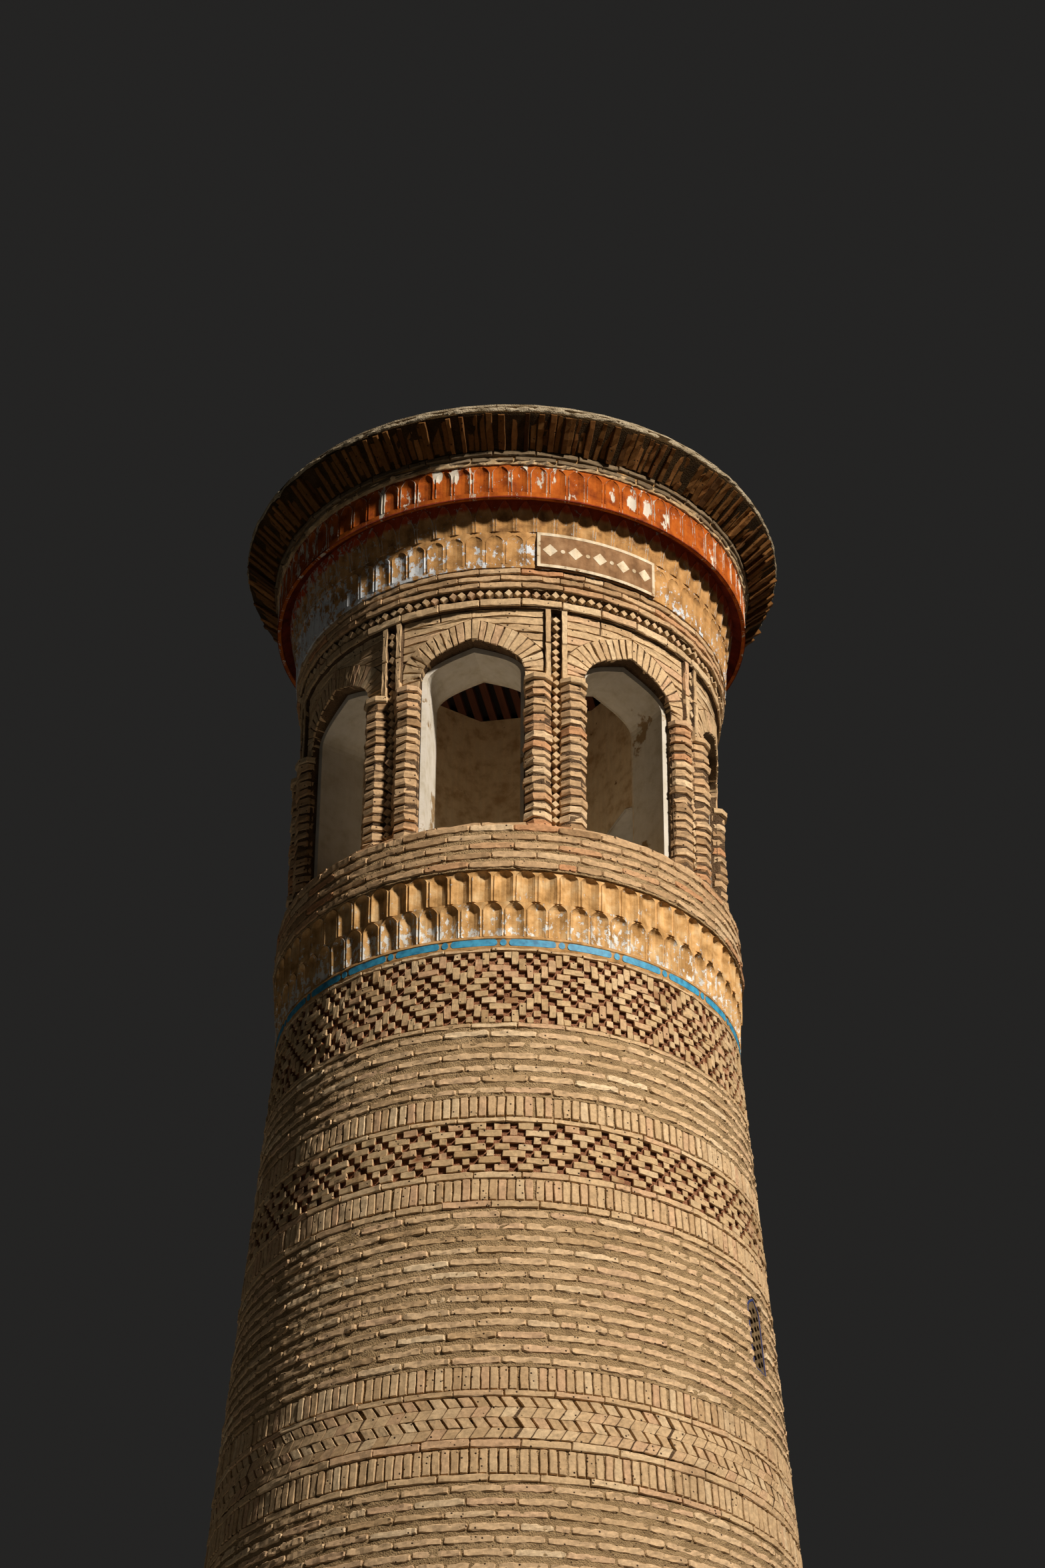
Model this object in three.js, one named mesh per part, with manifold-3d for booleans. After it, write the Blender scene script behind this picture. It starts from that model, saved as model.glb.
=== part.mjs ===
// A brick minaret with an open lantern of eight pointed arches under a flared eave.
// Millimetres, +Z up, origin on the tower's axis at ground level.
// An azimuth is a direction in plan: 0 is -Y, 90 is +X. Arch 1 faces azimuth 0.
import * as THREE from 'three';
import { mergeVertices } from 'three/addons/utils/BufferGeometryUtils.js';
import Module from 'manifold-3d';

const wasm = await Module();
wasm.setup();

// Driving dimensions of the tower
const GROUND_RADIUS = 2300;
const SHAFT_TOP_RADIUS = 1345;
const SHAFT_TOP = 12247;
const EAVE_RADIUS = 1665;
const EAVE_TOP = 15845;
const ROOF_RISE = 360;

// Masonry: the surface drawn is the mortar, and bricks stand out of it
const BRICK_RELIEF = 8;
const DIAMOND_RELIEF = 28;
const COURSE = 69.3;
const JOINT = 0.3;

// The shaft is hollow and eight-sided inside, one side under each arch
const BAYS = 8;
const BAY = 360 / BAYS;
const ROUND_SIDES = 48;
const INNER_APOTHEM_GROUND = 1450;
const INNER_APOTHEM_TOP = 800;
const LANTERN_APOTHEM = 880;
const CEILING_APOTHEM = 1000;

// Heights where one band ends and the next starts
const LOWER_WALL_TOP = 9006;
const UPRIGHT_1_TOP = 9249;
const CHEVRON_TOP = 9481;
const UPRIGHT_2_TOP = 9655;
const MIDDLE_WALL_TOP = 10586;
const UPRIGHT_3_TOP = 10818;
const DIAMOND_LOWER_TOP = 11117;
const UPRIGHT_4_TOP = 11285;
const UPPER_WALL_TOP = 11762;
const DIAMOND_UPPER_TOP = SHAFT_TOP;
const STRIP_TOP = 12332;
const LOWER_NICHES_MIDDLE = 12552;
const LOWER_NICHES_TOP = 12752;
const SILL_TOP = 13069;
const SPRINGING = 14215;
const ARCADE_TOP = 14639;
const DOGTOOTH_TOP = 14769;
const CORNICE_TOP = 14896;
const UPPER_NICHES_MIDDLE = 15153;
const SOFFIT = 15364;
const FRIEZE_FOOT = 15317;
const FRIEZE_TOP = 15578;
const FLAT_RING_TOP = 15650;
const EAVE_RIM = 15789;

// Outer radii above the shaft
const SILL_RADIUS_LOW = 1367;
const SILL_RADIUS_TOP = 1352;
const ARCADE_RADIUS_LOW = 1272;
const ARCADE_RADIUS_TOP = 1264;
const ARCADE_FRAME_RADIUS = 1282;
const ARCADE_FRAME_WIDTH = 32;
const DOGTOOTH_RADIUS = 1268;
const CORNICE_RADIUS_LOW = 1300;
const CORNICE_RADIUS_TOP = 1312;
const FRIEZE_FOOT_RADIUS = 1463;
const FRIEZE_RADIUS = 1457;
const FLAT_RING_RADIUS_LOW = 1466;
const FLAT_RING_RADIUS_TOP = 1480;
const SOFFIT_RADIUS = 1385;
const UPPER_NICHES_RADIUS = 1337;

// Plaster niches: tall hollow panels with a pointed head, side by side round the tower
const YELLOW_NICHES = 70;
const RED_NICHES = 80;
const NICHE_DEPTH = 17;
const RED_NICHE_DEPTH = 12;
const NICHE_HEAD_START = 0.7;

// Arches of the lantern, each a pointed passage through the wall
const ARCH_HALF_WIDTH = 310;
const ARCH_INNER_HALF_WIDTH = 285;
const ARCH_RISE = 220;
const ARCH_INNER_RISE = 190;
const BRICK_REVEAL_RADIUS = 1172;

// Engaged columns: a pair of three-faced brick shafts on each pier, with a recess between
const COLUMN_WIDTH = 146;
const COLUMN_FACE = 64;
const COLUMN_RADIUS = 1312;
const COLUMN_AZIMUTH = 4.7;
const COLUMN_TOP = 14095;
const COLUMN_RECESS_RADIUS = 1243;
const COLUMN_RECESS_WIDTH = 66;

// Doorway at the back, and the latticed window in the side
const DOOR_AZIMUTH = 180;
const DOOR_HALF_WIDTH = 390;
const DOOR_SPRINGING = 1750;
const DOOR_RISE = 300;
const WINDOW_AZIMUTH = 75;
const WINDOW_FOOT = 10045;
const WINDOW_HALF_WIDTH = 88;
const WINDOW_SPRINGING = 10400;
const WINDOW_RISE = 90;
const WINDOW_FRAME = 14;
const WINDOW_FRAME_DEPTH = 60;
const LATTICE_SETBACK = 3;
const LATTICE_THICKNESS = 10;
const LATTICE_PITCH = 54;
const LATTICE_HOLE_RADIUS = 21;
const LATTICE_ROWS = 7;
const LATTICE_COLUMNS = 1;

// Floors, ceiling and the panel among the upper niches
const GROUND_FLOOR_THICKNESS = 100;
const LANTERN_FLOOR_THICKNESS = 110;
const HATCH_SIDE = 620;
const HATCH_BACK = 330;
const JOIST_DEPTH = 55;
const JOIST_WIDTH = 46;
const JOIST_COUNT = 19;
const BOARD_THICKNESS = 28;
const PANEL_FIRST_STEP = 7;
const PANEL_LAST_STEP = 19;
const PANEL_THICKNESS = 30;

// How far a cutting shape runs past what it cuts
const PAST = 50;

const radians = THREE.MathUtils.degToRad;
const BATTER = (GROUND_RADIUS - SHAFT_TOP_RADIUS) / SHAFT_TOP;
const INNER_BATTER = (INNER_APOTHEM_GROUND - INNER_APOTHEM_TOP) / SHAFT_TOP;

function shaftRadius(height, relief = BRICK_RELIEF) {
  return GROUND_RADIUS - BATTER * height - relief;
}

function shaftApothem(height) {
  return INNER_APOTHEM_GROUND - INNER_BATTER * height;
}

// A closed geometry as a solid that can be cut and joined
function solidOf(geometry) {
  geometry.deleteAttribute('normal');
  geometry.deleteAttribute('uv');
  const merged = mergeVertices(geometry, 1e-3);
  const corners = merged.index.array;
  const kept = [];
  for (let i = 0; i < corners.length; i += 3) {
    const [a, b, c] = corners.slice(i, i + 3);
    if (a !== b && b !== c && c !== a) kept.push(a, b, c);
  }
  return new wasm.Manifold(new wasm.Mesh({
    numProp: 3,
    vertProperties: new Float32Array(merged.attributes.position.array),
    triVerts: new Uint32Array(kept),
  }));
}

function geometryOf(solid) {
  const mesh = solid.getMesh();
  const geometry = new THREE.BufferGeometry();
  geometry.setAttribute('position', new THREE.BufferAttribute(mesh.vertProperties, 3));
  geometry.setIndex(new THREE.BufferAttribute(mesh.triVerts, 1));
  return geometry;
}

// A solid of revolution from [radius, height] points that start and end on the axis
function turned(profile, sides = ROUND_SIDES, turn = 0) {
  const points = profile.map(([radius, height]) => new THREE.Vector2(radius, height));
  const geometry = new THREE.LatheGeometry(points, sides, radians(turn));
  geometry.rotateX(Math.PI / 2);
  return solidOf(geometry);
}

// A tapered eight-sided core with flat sides under the arches
function octagonCore(low, high, apothemLow, apothemHigh) {
  const corner = 1 / Math.cos(radians(BAY / 2));
  return turned([
    [0, low],
    [apothemLow * corner, low],
    [apothemHigh * corner, high],
    [0, high],
  ], BAYS, BAY / 2);
}

function extruded(shape, depth, curveSegments = 6) {
  return new THREE.ExtrudeGeometry(shape, { depth, curveSegments, bevelEnabled: false });
}

// A ring of wall: a turned outside less the eight-sided inside
function ring(outline, apothemLow, apothemHigh) {
  const low = outline[0][1];
  const high = outline[outline.length - 1][1];
  const outside = turned([[0, low], ...outline, [0, high]]);
  const lean = (apothemHigh - apothemLow) / (high - low);
  return outside.subtract(octagonCore(low - PAST, high + PAST, apothemLow - lean * PAST, apothemHigh + lean * PAST));
}

function shaftRing(low, high, relief) {
  const top = high - JOINT;
  const outline = [[shaftRadius(low, relief), low], [shaftRadius(top, relief), top]];
  return ring(outline, shaftApothem(low), shaftApothem(high));
}

// The part of the plan between two azimuths, drawn back by half a joint on each side
function sector(azimuthLow, azimuthHigh, low, high) {
  const reach = 4 * GROUND_RADIUS;
  const middle = radians((azimuthLow + azimuthHigh) / 2);
  const half = radians((azimuthHigh - azimuthLow) / 2);
  const back = JOINT / 2 / Math.sin(half);
  const apex = new THREE.Vector2(back * Math.sin(middle), -back * Math.cos(middle));
  const shape = new THREE.Shape();
  shape.moveTo(apex.x, apex.y);
  for (const turn of [-1, 0, 1]) {
    const angle = middle + turn * half;
    shape.lineTo(apex.x + reach * Math.sin(angle), apex.y - reach * Math.cos(angle));
  }
  const geometry = extruded(shape, high - low);
  geometry.translate(0, 0, low);
  return solidOf(geometry);
}

// The outline of a pointed opening: upright sides, then a low four-centred arch
function pointedShape(halfWidth, foot, springing, rise) {
  const apex = springing + rise;
  const shape = new THREE.Shape();
  shape.moveTo(-halfWidth, foot);
  shape.lineTo(halfWidth, foot);
  shape.lineTo(halfWidth, springing);
  shape.bezierCurveTo(halfWidth * 0.98, springing + rise * 0.5, halfWidth * 0.45, apex - rise * 0.25, 0, apex);
  shape.bezierCurveTo(-halfWidth * 0.45, apex - rise * 0.25, -halfWidth * 0.98, springing + rise * 0.5,
    -halfWidth, springing);
  return shape;
}

// An upright outline pushed through the wall along an azimuth, between two distances from the axis
function passage(shape, azimuth, near, far) {
  const geometry = extruded(shape, far - near);
  geometry.rotateX(Math.PI / 2);
  geometry.translate(0, -near, 0);
  geometry.rotateZ(radians(azimuth));
  return solidOf(geometry);
}

// An outline in plan, drawn with its own azimuth at -Y, raised between two heights
function upright(points, azimuth, low, high) {
  const shape = new THREE.Shape(points.map(([x, y]) => new THREE.Vector2(x, y)));
  const geometry = extruded(shape, high - low);
  geometry.translate(0, 0, low);
  geometry.rotateZ(radians(azimuth));
  return solidOf(geometry);
}

const minaret = new THREE.Group();
const finishes = {
  brick: [0xb08b60, 0.95],
  turquoise: [0x2f8fb0, 0.3],
  yellowPlaster: [0xc08a45, 0.8],
  redPlaster: [0xc04a1c, 0.8],
  greyBrick: [0x8a7a60, 0.95],
  brownPanel: [0x7c5a3a, 0.85],
  lime: [0xcfc2a4, 0.95],
  timber: [0x4a2c1c, 0.8],
  blueFrame: [0x1f3350, 0.6],
  screedFloor: [0x8f8474, 0.95],
};

function add(name, solid, finish) {
  const [color, roughness] = finishes[finish];
  const material = new THREE.MeshStandardMaterial({ color, roughness, metalness: 0 });
  const mesh = new THREE.Mesh(geometryOf(solid), material);
  mesh.name = name;
  minaret.add(mesh);
}

// Ground floor: a slab inside the shaft, with a tongue that is the sill of the doorway
function groundFloor() {
  const apothem = shaftApothem(0) - JOINT;
  const topApothem = shaftApothem(GROUND_FLOOR_THICKNESS) - JOINT;
  const half = DOOR_HALF_WIDTH - JOINT;
  const reach = shaftRadius(0);
  const sill = upright([[-half, 0], [half, 0], [half, reach], [-half, reach]], 0, 0, GROUND_FLOOR_THICKNESS);
  return octagonCore(0, GROUND_FLOOR_THICKNESS, apothem, topApothem).add(sill);
}

// Lower wall: the tall plain foot of the shaft in quarters, the back one split at the doorway
function lowerWall() {
  const whole = shaftRing(0, LOWER_WALL_TOP);
  const quarter = (middle) => whole.intersect(sector(middle - BAY, middle + BAY, -1, LOWER_WALL_TOP));
  add('lower_wall_front', quarter(0), 'brick');
  add('lower_wall_right', quarter(90), 'brick');
  add('lower_wall_left', quarter(270), 'brick');
  const door = pointedShape(DOOR_HALF_WIDTH, -PAST, DOOR_SPRINGING, DOOR_RISE);
  const back = quarter(DOOR_AZIMUTH).subtract(passage(door, DOOR_AZIMUTH, LANTERN_APOTHEM, GROUND_RADIUS + PAST));
  const under = (low, high) => sector(low, high, -1, DOOR_SPRINGING - JOINT);
  add('wall_right_of_door', back.intersect(under(DOOR_AZIMUTH - BAY, DOOR_AZIMUTH)), 'brick');
  add('wall_left_of_door', back.intersect(under(DOOR_AZIMUTH, DOOR_AZIMUTH + BAY)), 'brick');
  const over = sector(DOOR_AZIMUTH - BAY, DOOR_AZIMUTH + BAY, DOOR_SPRINGING, LOWER_WALL_TOP);
  add('wall_over_door', back.intersect(over), 'brick');
}

// Bands of the shaft, one above another
function shaftBands() {
  add('upright_course_1', shaftRing(LOWER_WALL_TOP, UPRIGHT_1_TOP), 'brick');
  add('chevron_band', shaftRing(UPRIGHT_1_TOP, CHEVRON_TOP, DIAMOND_RELIEF / 2), 'brick');
  add('upright_course_2', shaftRing(CHEVRON_TOP, UPRIGHT_2_TOP), 'brick');
  const window = pointedShape(WINDOW_HALF_WIDTH, WINDOW_FOOT, WINDOW_SPRINGING, WINDOW_RISE);
  const middle = shaftRing(UPRIGHT_2_TOP, MIDDLE_WALL_TOP);
  add('middle_wall', middle.subtract(passage(window, WINDOW_AZIMUTH, SHAFT_TOP_RADIUS / 2, GROUND_RADIUS)), 'brick');
  add('upright_course_3', shaftRing(MIDDLE_WALL_TOP, UPRIGHT_3_TOP), 'brick');
  add('diamond_band_lower', shaftRing(UPRIGHT_3_TOP, DIAMOND_LOWER_TOP, DIAMOND_RELIEF), 'brick');
  add('upright_course_4', shaftRing(DIAMOND_LOWER_TOP, UPRIGHT_4_TOP), 'brick');
  add('upper_wall', shaftRing(UPRIGHT_4_TOP, UPPER_WALL_TOP), 'brick');
  add('diamond_band_upper', shaftRing(UPPER_WALL_TOP, DIAMOND_UPPER_TOP, DIAMOND_RELIEF), 'brick');
  const strip = [[SHAFT_TOP_RADIUS - 2, SHAFT_TOP], [SHAFT_TOP_RADIUS - 2, STRIP_TOP - JOINT]];
  add('turquoise_strip', ring(strip, LANTERN_APOTHEM, LANTERN_APOTHEM), 'turquoise');
}

function hexagon(x, height) {
  const corners = [];
  for (let corner = 0; corner < 6; corner += 1) {
    const angle = (corner * Math.PI) / 3;
    corners.push(new THREE.Vector2(
      x + LATTICE_HOLE_RADIUS * Math.cos(angle),
      height + LATTICE_HOLE_RADIUS * Math.sin(angle),
    ));
  }
  return new THREE.Shape(corners);
}

// A plate in the window's mouth that slopes with the wall, between two depths behind the brick faces
function inWindow(outline, front, back) {
  const low = WINDOW_FOOT - PAST;
  const high = WINDOW_SPRINGING + WINDOW_RISE + PAST;
  const through = passage(outline, WINDOW_AZIMUTH, SHAFT_TOP_RADIUS, GROUND_RADIUS);
  return through.intersect(shaftRing(low, high, front)).subtract(shaftRing(low - PAST, high + PAST, back));
}

// Window: a frame flush with the wall, and a thin pierced plaster lattice inside it
function latticeWindow() {
  const frameOutline = pointedShape(WINDOW_HALF_WIDTH - JOINT, WINDOW_FOOT + JOINT,
    WINDOW_SPRINGING, WINDOW_RISE - JOINT);
  const sightHalf = WINDOW_HALF_WIDTH - WINDOW_FRAME;
  const sightFoot = WINDOW_FOOT + WINDOW_FRAME;
  const sightRise = WINDOW_RISE - WINDOW_FRAME;
  const sight = pointedShape(sightHalf, sightFoot, WINDOW_SPRINGING, sightRise);
  const frame = inWindow(frameOutline, BRICK_RELIEF, BRICK_RELIEF + WINDOW_FRAME_DEPTH);
  const opening = passage(sight, WINDOW_AZIMUTH, SHAFT_TOP_RADIUS, GROUND_RADIUS);
  add('window_frame', frame.subtract(opening), 'blueFrame');
  const latticeOutline = pointedShape(sightHalf - JOINT, sightFoot + JOINT,
    WINDOW_SPRINGING, sightRise - JOINT);
  const latticeFace = BRICK_RELIEF + LATTICE_SETBACK;
  let lattice = inWindow(latticeOutline, latticeFace, latticeFace + LATTICE_THICKNESS);
  const columnStep = LATTICE_PITCH * Math.sin(Math.PI / 3);
  for (let column = -LATTICE_COLUMNS; column <= LATTICE_COLUMNS; column += 1) {
    const x = column * columnStep;
    const shift = column % 2 ? LATTICE_PITCH / 2 : 0;
    for (let row = 0; row <= LATTICE_ROWS; row += 1) {
      const height = sightFoot + LATTICE_PITCH / 2 + shift + row * LATTICE_PITCH;
      const narrowing = Math.max(0, (height + LATTICE_HOLE_RADIUS - WINDOW_SPRINGING) / sightRise);
      if (Math.abs(x) + LATTICE_HOLE_RADIUS > sightHalf * (1 - narrowing)) continue;
      const hole = passage(hexagon(x, height), WINDOW_AZIMUTH, SHAFT_TOP_RADIUS, GROUND_RADIUS);
      lattice = lattice.subtract(hole);
    }
  }
  add('window_lattice', lattice, 'lime');
}

// A body of stacked outlines round the axis. Each level is [height, radius, hollow], and the hollow
// is how far every second point lies back, which makes a row of upright hollows between ribs.
// setBack gives how far the points of one stretch of the ring lie behind the rest.
function fluted(levels, count, setBack = () => 0) {
  const steps = 2 * count;
  const positions = [];
  for (const [height, radius, hollow] of levels) {
    for (let step = 0; step < steps; step += 1) {
      const angle = (step / steps) * 2 * Math.PI;
      const back = setBack(step);
      const reach = back > 0 ? levels[0][1] - back : radius - (step % 2) * hollow;
      positions.push(reach * Math.sin(angle), -reach * Math.cos(angle), height);
    }
  }
  const faces = [];
  for (let level = 0; level < levels.length - 1; level += 1) {
    for (let step = 0; step < steps; step += 1) {
      const next = (step + 1) % steps;
      const a = level * steps + step;
      const b = level * steps + next;
      const c = a + steps;
      const d = b + steps;
      if (step % 2) faces.push(a, b, c, b, d, c);
      else faces.push(a, b, d, a, d, c);
    }
  }
  const bottomCentre = positions.length / 3;
  const topCentre = bottomCentre + 1;
  const topStart = (levels.length - 1) * steps;
  positions.push(0, 0, levels[0][0]);
  positions.push(0, 0, levels[levels.length - 1][0]);
  for (let step = 0; step < steps; step += 1) {
    const next = (step + 1) % steps;
    faces.push(bottomCentre, next, step);
    faces.push(topCentre, topStart + step, topStart + next);
  }
  const geometry = new THREE.BufferGeometry();
  geometry.setAttribute('position', new THREE.Float32BufferAttribute(positions, 3));
  geometry.setIndex(faces);
  return solidOf(geometry);
}

// A tier of plaster niches, each closed above by a head that comes out to the ribs
function nicheTier(low, high, footRadius, headRadius) {
  const headFoot = THREE.MathUtils.lerp(low, high, NICHE_HEAD_START);
  const headFootRadius = THREE.MathUtils.lerp(footRadius, headRadius, NICHE_HEAD_START);
  const levels = [
    [low, footRadius, NICHE_DEPTH],
    [headFoot, headFootRadius, NICHE_DEPTH],
    [high - JOINT, headRadius, 0],
  ];
  return hollowOut(fluted(levels, YELLOW_NICHES), low, high, LANTERN_APOTHEM);
}

function hollowOut(solid, low, high, apothem) {
  return solid.subtract(octagonCore(low - PAST, high + PAST, apothem, apothem));
}

// Lower niches: two tiers under the sill, the upper overhanging the lower
function lowerNiches() {
  const bottom = nicheTier(STRIP_TOP, LOWER_NICHES_MIDDLE, SHAFT_TOP_RADIUS + 2, SHAFT_TOP_RADIUS + 13);
  add('lower_niches_bottom', bottom, 'yellowPlaster');
  const top = nicheTier(LOWER_NICHES_MIDDLE, LOWER_NICHES_TOP, SHAFT_TOP_RADIUS + 16, SHAFT_TOP_RADIUS + 25);
  add('lower_niches_top', top, 'yellowPlaster');
}

function sillRing() {
  const outline = [[SILL_RADIUS_LOW, LOWER_NICHES_TOP], [SILL_RADIUS_TOP, SILL_TOP - JOINT]];
  add('sill_ring', ring(outline, LANTERN_APOTHEM, LANTERN_APOTHEM), 'brick');
}

// Lantern floor: a slab on the ledge inside the wall, with a hatch for the way up
function lanternFloor() {
  const low = SHAFT_TOP;
  const high = SHAFT_TOP + LANTERN_FLOOR_THICKNESS;
  const slab = octagonCore(low, high, LANTERN_APOTHEM - JOINT, LANTERN_APOTHEM - JOINT);
  const half = HATCH_SIDE / 2;
  const hatch = upright([[-half, -half], [half, -half], [half, half], [-half, half]], 0, low - PAST, high + PAST);
  add('lantern_floor', slab.subtract(hatch.translate([0, HATCH_BACK, 0])), 'screedFloor');
}

// One three-faced column against the pier, at an azimuth, between two heights
function column(azimuth, low, high) {
  const back = COLUMN_RECESS_RADIUS - PAST;
  const shoulder = COLUMN_RADIUS - (COLUMN_WIDTH - COLUMN_FACE) / 2;
  const half = COLUMN_WIDTH / 2;
  const face = COLUMN_FACE / 2;
  return upright([
    [-half, -back],
    [-half, -shoulder],
    [-face, -COLUMN_RADIUS],
    [face, -COLUMN_RADIUS],
    [half, -shoulder],
    [half, -back],
  ], azimuth, low, high);
}

// An upright strip on the wall, from one side of an azimuth to the other, between two distances from the axis
function strip(azimuth, left, right, near, far, low, high) {
  return upright([[left, -far], [right, -far], [right, -near], [left, -near]], azimuth, low, high);
}

// Lantern wall: eight piers with paired columns, and eight arches that span between them.
// Above the columns a thin brick frame runs up each side of a pier's recess.
function arcade() {
  const top = ARCADE_TOP - JOINT;
  const outline = [[ARCADE_RADIUS_LOW - BRICK_RELIEF, SILL_TOP], [ARCADE_RADIUS_TOP - BRICK_RELIEF, top]];
  let wall = ring(outline, LANTERN_APOTHEM, LANTERN_APOTHEM);
  const mouth = pointedShape(ARCH_HALF_WIDTH, SILL_TOP - PAST, SPRINGING, ARCH_RISE);
  const throat = pointedShape(ARCH_INNER_HALF_WIDTH, SILL_TOP - PAST, SPRINGING, ARCH_INNER_RISE);
  const recessHalf = COLUMN_RECESS_WIDTH / 2;
  const frameHalf = recessHalf + ARCADE_FRAME_WIDTH;
  const inWall = COLUMN_RECESS_RADIUS - PAST;
  const recess = (azimuth) => strip(azimuth, -recessHalf, recessHalf, COLUMN_RECESS_RADIUS, EAVE_RADIUS,
    SILL_TOP - PAST, ARCADE_TOP + PAST);
  for (let bay = 0; bay < BAYS; bay += 1) {
    const pierMiddle = (bay + 0.5) * BAY;
    wall = wall.subtract(passage(mouth, bay * BAY, BRICK_REVEAL_RADIUS, EAVE_RADIUS));
    wall = wall.subtract(passage(throat, bay * BAY, LANTERN_APOTHEM / 2, EAVE_RADIUS));
    wall = wall.add(strip(pierMiddle, -frameHalf, frameHalf, inWall, ARCADE_FRAME_RADIUS, SPRINGING, top));
    wall = wall.subtract(recess(pierMiddle));
  }
  for (let bay = 0; bay < BAYS; bay += 1) {
    const middle = (bay + 0.5) * BAY;
    let pier = wall.intersect(sector(middle - BAY / 2, middle + BAY / 2, SILL_TOP - 1, SPRINGING - JOINT));
    for (const side of [-1, 1]) {
      const shaft = column(middle + side * COLUMN_AZIMUTH, SILL_TOP, COLUMN_TOP);
      const clear = passage(mouth, middle + side * BAY / 2, BRICK_REVEAL_RADIUS, EAVE_RADIUS);
      pier = pier.add(shaft.subtract(recess(middle)).subtract(clear));
    }
    add(`pier_${bay + 1}`, pier, 'brick');
    const archMiddle = bay * BAY;
    const arch = wall.intersect(sector(archMiddle - BAY / 2, archMiddle + BAY / 2, SPRINGING, ARCADE_TOP));
    add(`arch_${bay + 1}`, arch, 'brick');
  }
}

// Brick courses over the arches: a strip, a recessed course of brick corners, and three courses above
function brickCornice() {
  const stripTop = ARCADE_TOP + COURSE * 0.88;
  const recessTop = DOGTOOTH_TOP - 14;
  const dogtooth = [
    [ARCADE_FRAME_RADIUS, ARCADE_TOP], [ARCADE_FRAME_RADIUS, stripTop],
    [DOGTOOTH_RADIUS, stripTop], [DOGTOOTH_RADIUS, recessTop],
    [CORNICE_RADIUS_LOW, recessTop], [CORNICE_RADIUS_LOW, DOGTOOTH_TOP - JOINT],
  ];
  add('dogtooth_course', ring(dogtooth, LANTERN_APOTHEM, LANTERN_APOTHEM), 'brick');
  const cornice = [[CORNICE_RADIUS_LOW, DOGTOOTH_TOP], [CORNICE_RADIUS_TOP, CORNICE_TOP - JOINT]];
  add('brick_cornice', ring(cornice, LANTERN_APOTHEM, LANTERN_APOTHEM), 'brick');
}

// Upper niches: two tiers under the eave, the lower one interrupted by a flat panel
function upperNiches() {
  const nicheFoot = CORNICE_TOP + 24;
  const headTop = UPPER_NICHES_MIDDLE - 12;
  const headFoot = THREE.MathUtils.lerp(nicheFoot, headTop, NICHE_HEAD_START);
  const levels = [
    [CORNICE_TOP, UPPER_NICHES_RADIUS - 10, 0],
    [nicheFoot, UPPER_NICHES_RADIUS - 9, 0],
    [nicheFoot + 2, UPPER_NICHES_RADIUS - 9, NICHE_DEPTH],
    [headFoot, UPPER_NICHES_RADIUS - 3, NICHE_DEPTH],
    [headTop, UPPER_NICHES_RADIUS, 0],
    [UPPER_NICHES_MIDDLE - JOINT, UPPER_NICHES_RADIUS, 0],
  ];
  const behindPanel = (step) => (step >= PANEL_FIRST_STEP && step <= PANEL_LAST_STEP ? PANEL_THICKNESS : 0);
  const bottom = fluted(levels, YELLOW_NICHES, behindPanel);
  add('upper_niches_bottom', hollowOut(bottom, CORNICE_TOP, UPPER_NICHES_MIDDLE, LANTERN_APOTHEM), 'yellowPlaster');
  const back = levels[0][1] - PANEL_THICKNESS + JOINT;
  const points = [];
  for (let step = PANEL_FIRST_STEP; step <= PANEL_LAST_STEP; step += 1) points.push([step, back]);
  for (let step = PANEL_LAST_STEP; step >= PANEL_FIRST_STEP; step -= 1) points.push([step, UPPER_NICHES_RADIUS - 3]);
  const outline = points.map(([step, radius]) => {
    const angle = (step / YELLOW_NICHES) * Math.PI;
    return [radius * Math.sin(angle), -radius * Math.cos(angle)];
  });
  add('plain_panel', upright(outline, 0, CORNICE_TOP, UPPER_NICHES_MIDDLE - JOINT), 'brownPanel');
  const top = nicheTier(UPPER_NICHES_MIDDLE, SOFFIT, UPPER_NICHES_RADIUS + 8, SOFFIT_RADIUS - 5);
  add('upper_niches_top', top, 'yellowPlaster');
}

// Red frieze: a fillet that drips below its soffit, and shallow niches between ribs above it
function redFrieze() {
  const nicheFoot = FRIEZE_FOOT + 43;
  const headTop = FRIEZE_TOP - 22;
  const headFoot = THREE.MathUtils.lerp(nicheFoot, headTop, NICHE_HEAD_START);
  const levels = [
    [SOFFIT, SOFFIT_RADIUS, 0],
    [FRIEZE_FOOT, FRIEZE_FOOT_RADIUS, 0],
    [nicheFoot, FRIEZE_FOOT_RADIUS, 0],
    [nicheFoot + 2, FRIEZE_RADIUS, RED_NICHE_DEPTH],
    [headFoot, FRIEZE_RADIUS + 2, RED_NICHE_DEPTH],
    [headTop, FRIEZE_RADIUS + 3, 0],
    [FRIEZE_TOP - JOINT, FRIEZE_RADIUS + 3, 0],
  ];
  const frieze = fluted(levels, RED_NICHES);
  add('red_frieze', hollowOut(frieze, FRIEZE_FOOT, FRIEZE_TOP, CEILING_APOTHEM), 'redPlaster');
}

// Eave: a flat ring of grey brick, then a cone of bricks on edge flaring to a worn lime rim
function eave() {
  const flat = [[FLAT_RING_RADIUS_LOW, FRIEZE_TOP], [FLAT_RING_RADIUS_TOP, FLAT_RING_TOP - JOINT]];
  add('flat_brick_ring', ring(flat, CEILING_APOTHEM, CEILING_APOTHEM), 'greyBrick');
  const cone = [
    [FLAT_RING_RADIUS_TOP, FLAT_RING_TOP], [EAVE_RADIUS - 12, EAVE_RIM],
    [EAVE_RADIUS, EAVE_RIM + 12], [EAVE_RADIUS, EAVE_TOP - JOINT],
  ];
  add('eave', ring(cone, CEILING_APOTHEM, CEILING_APOTHEM), 'brick');
}

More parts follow.
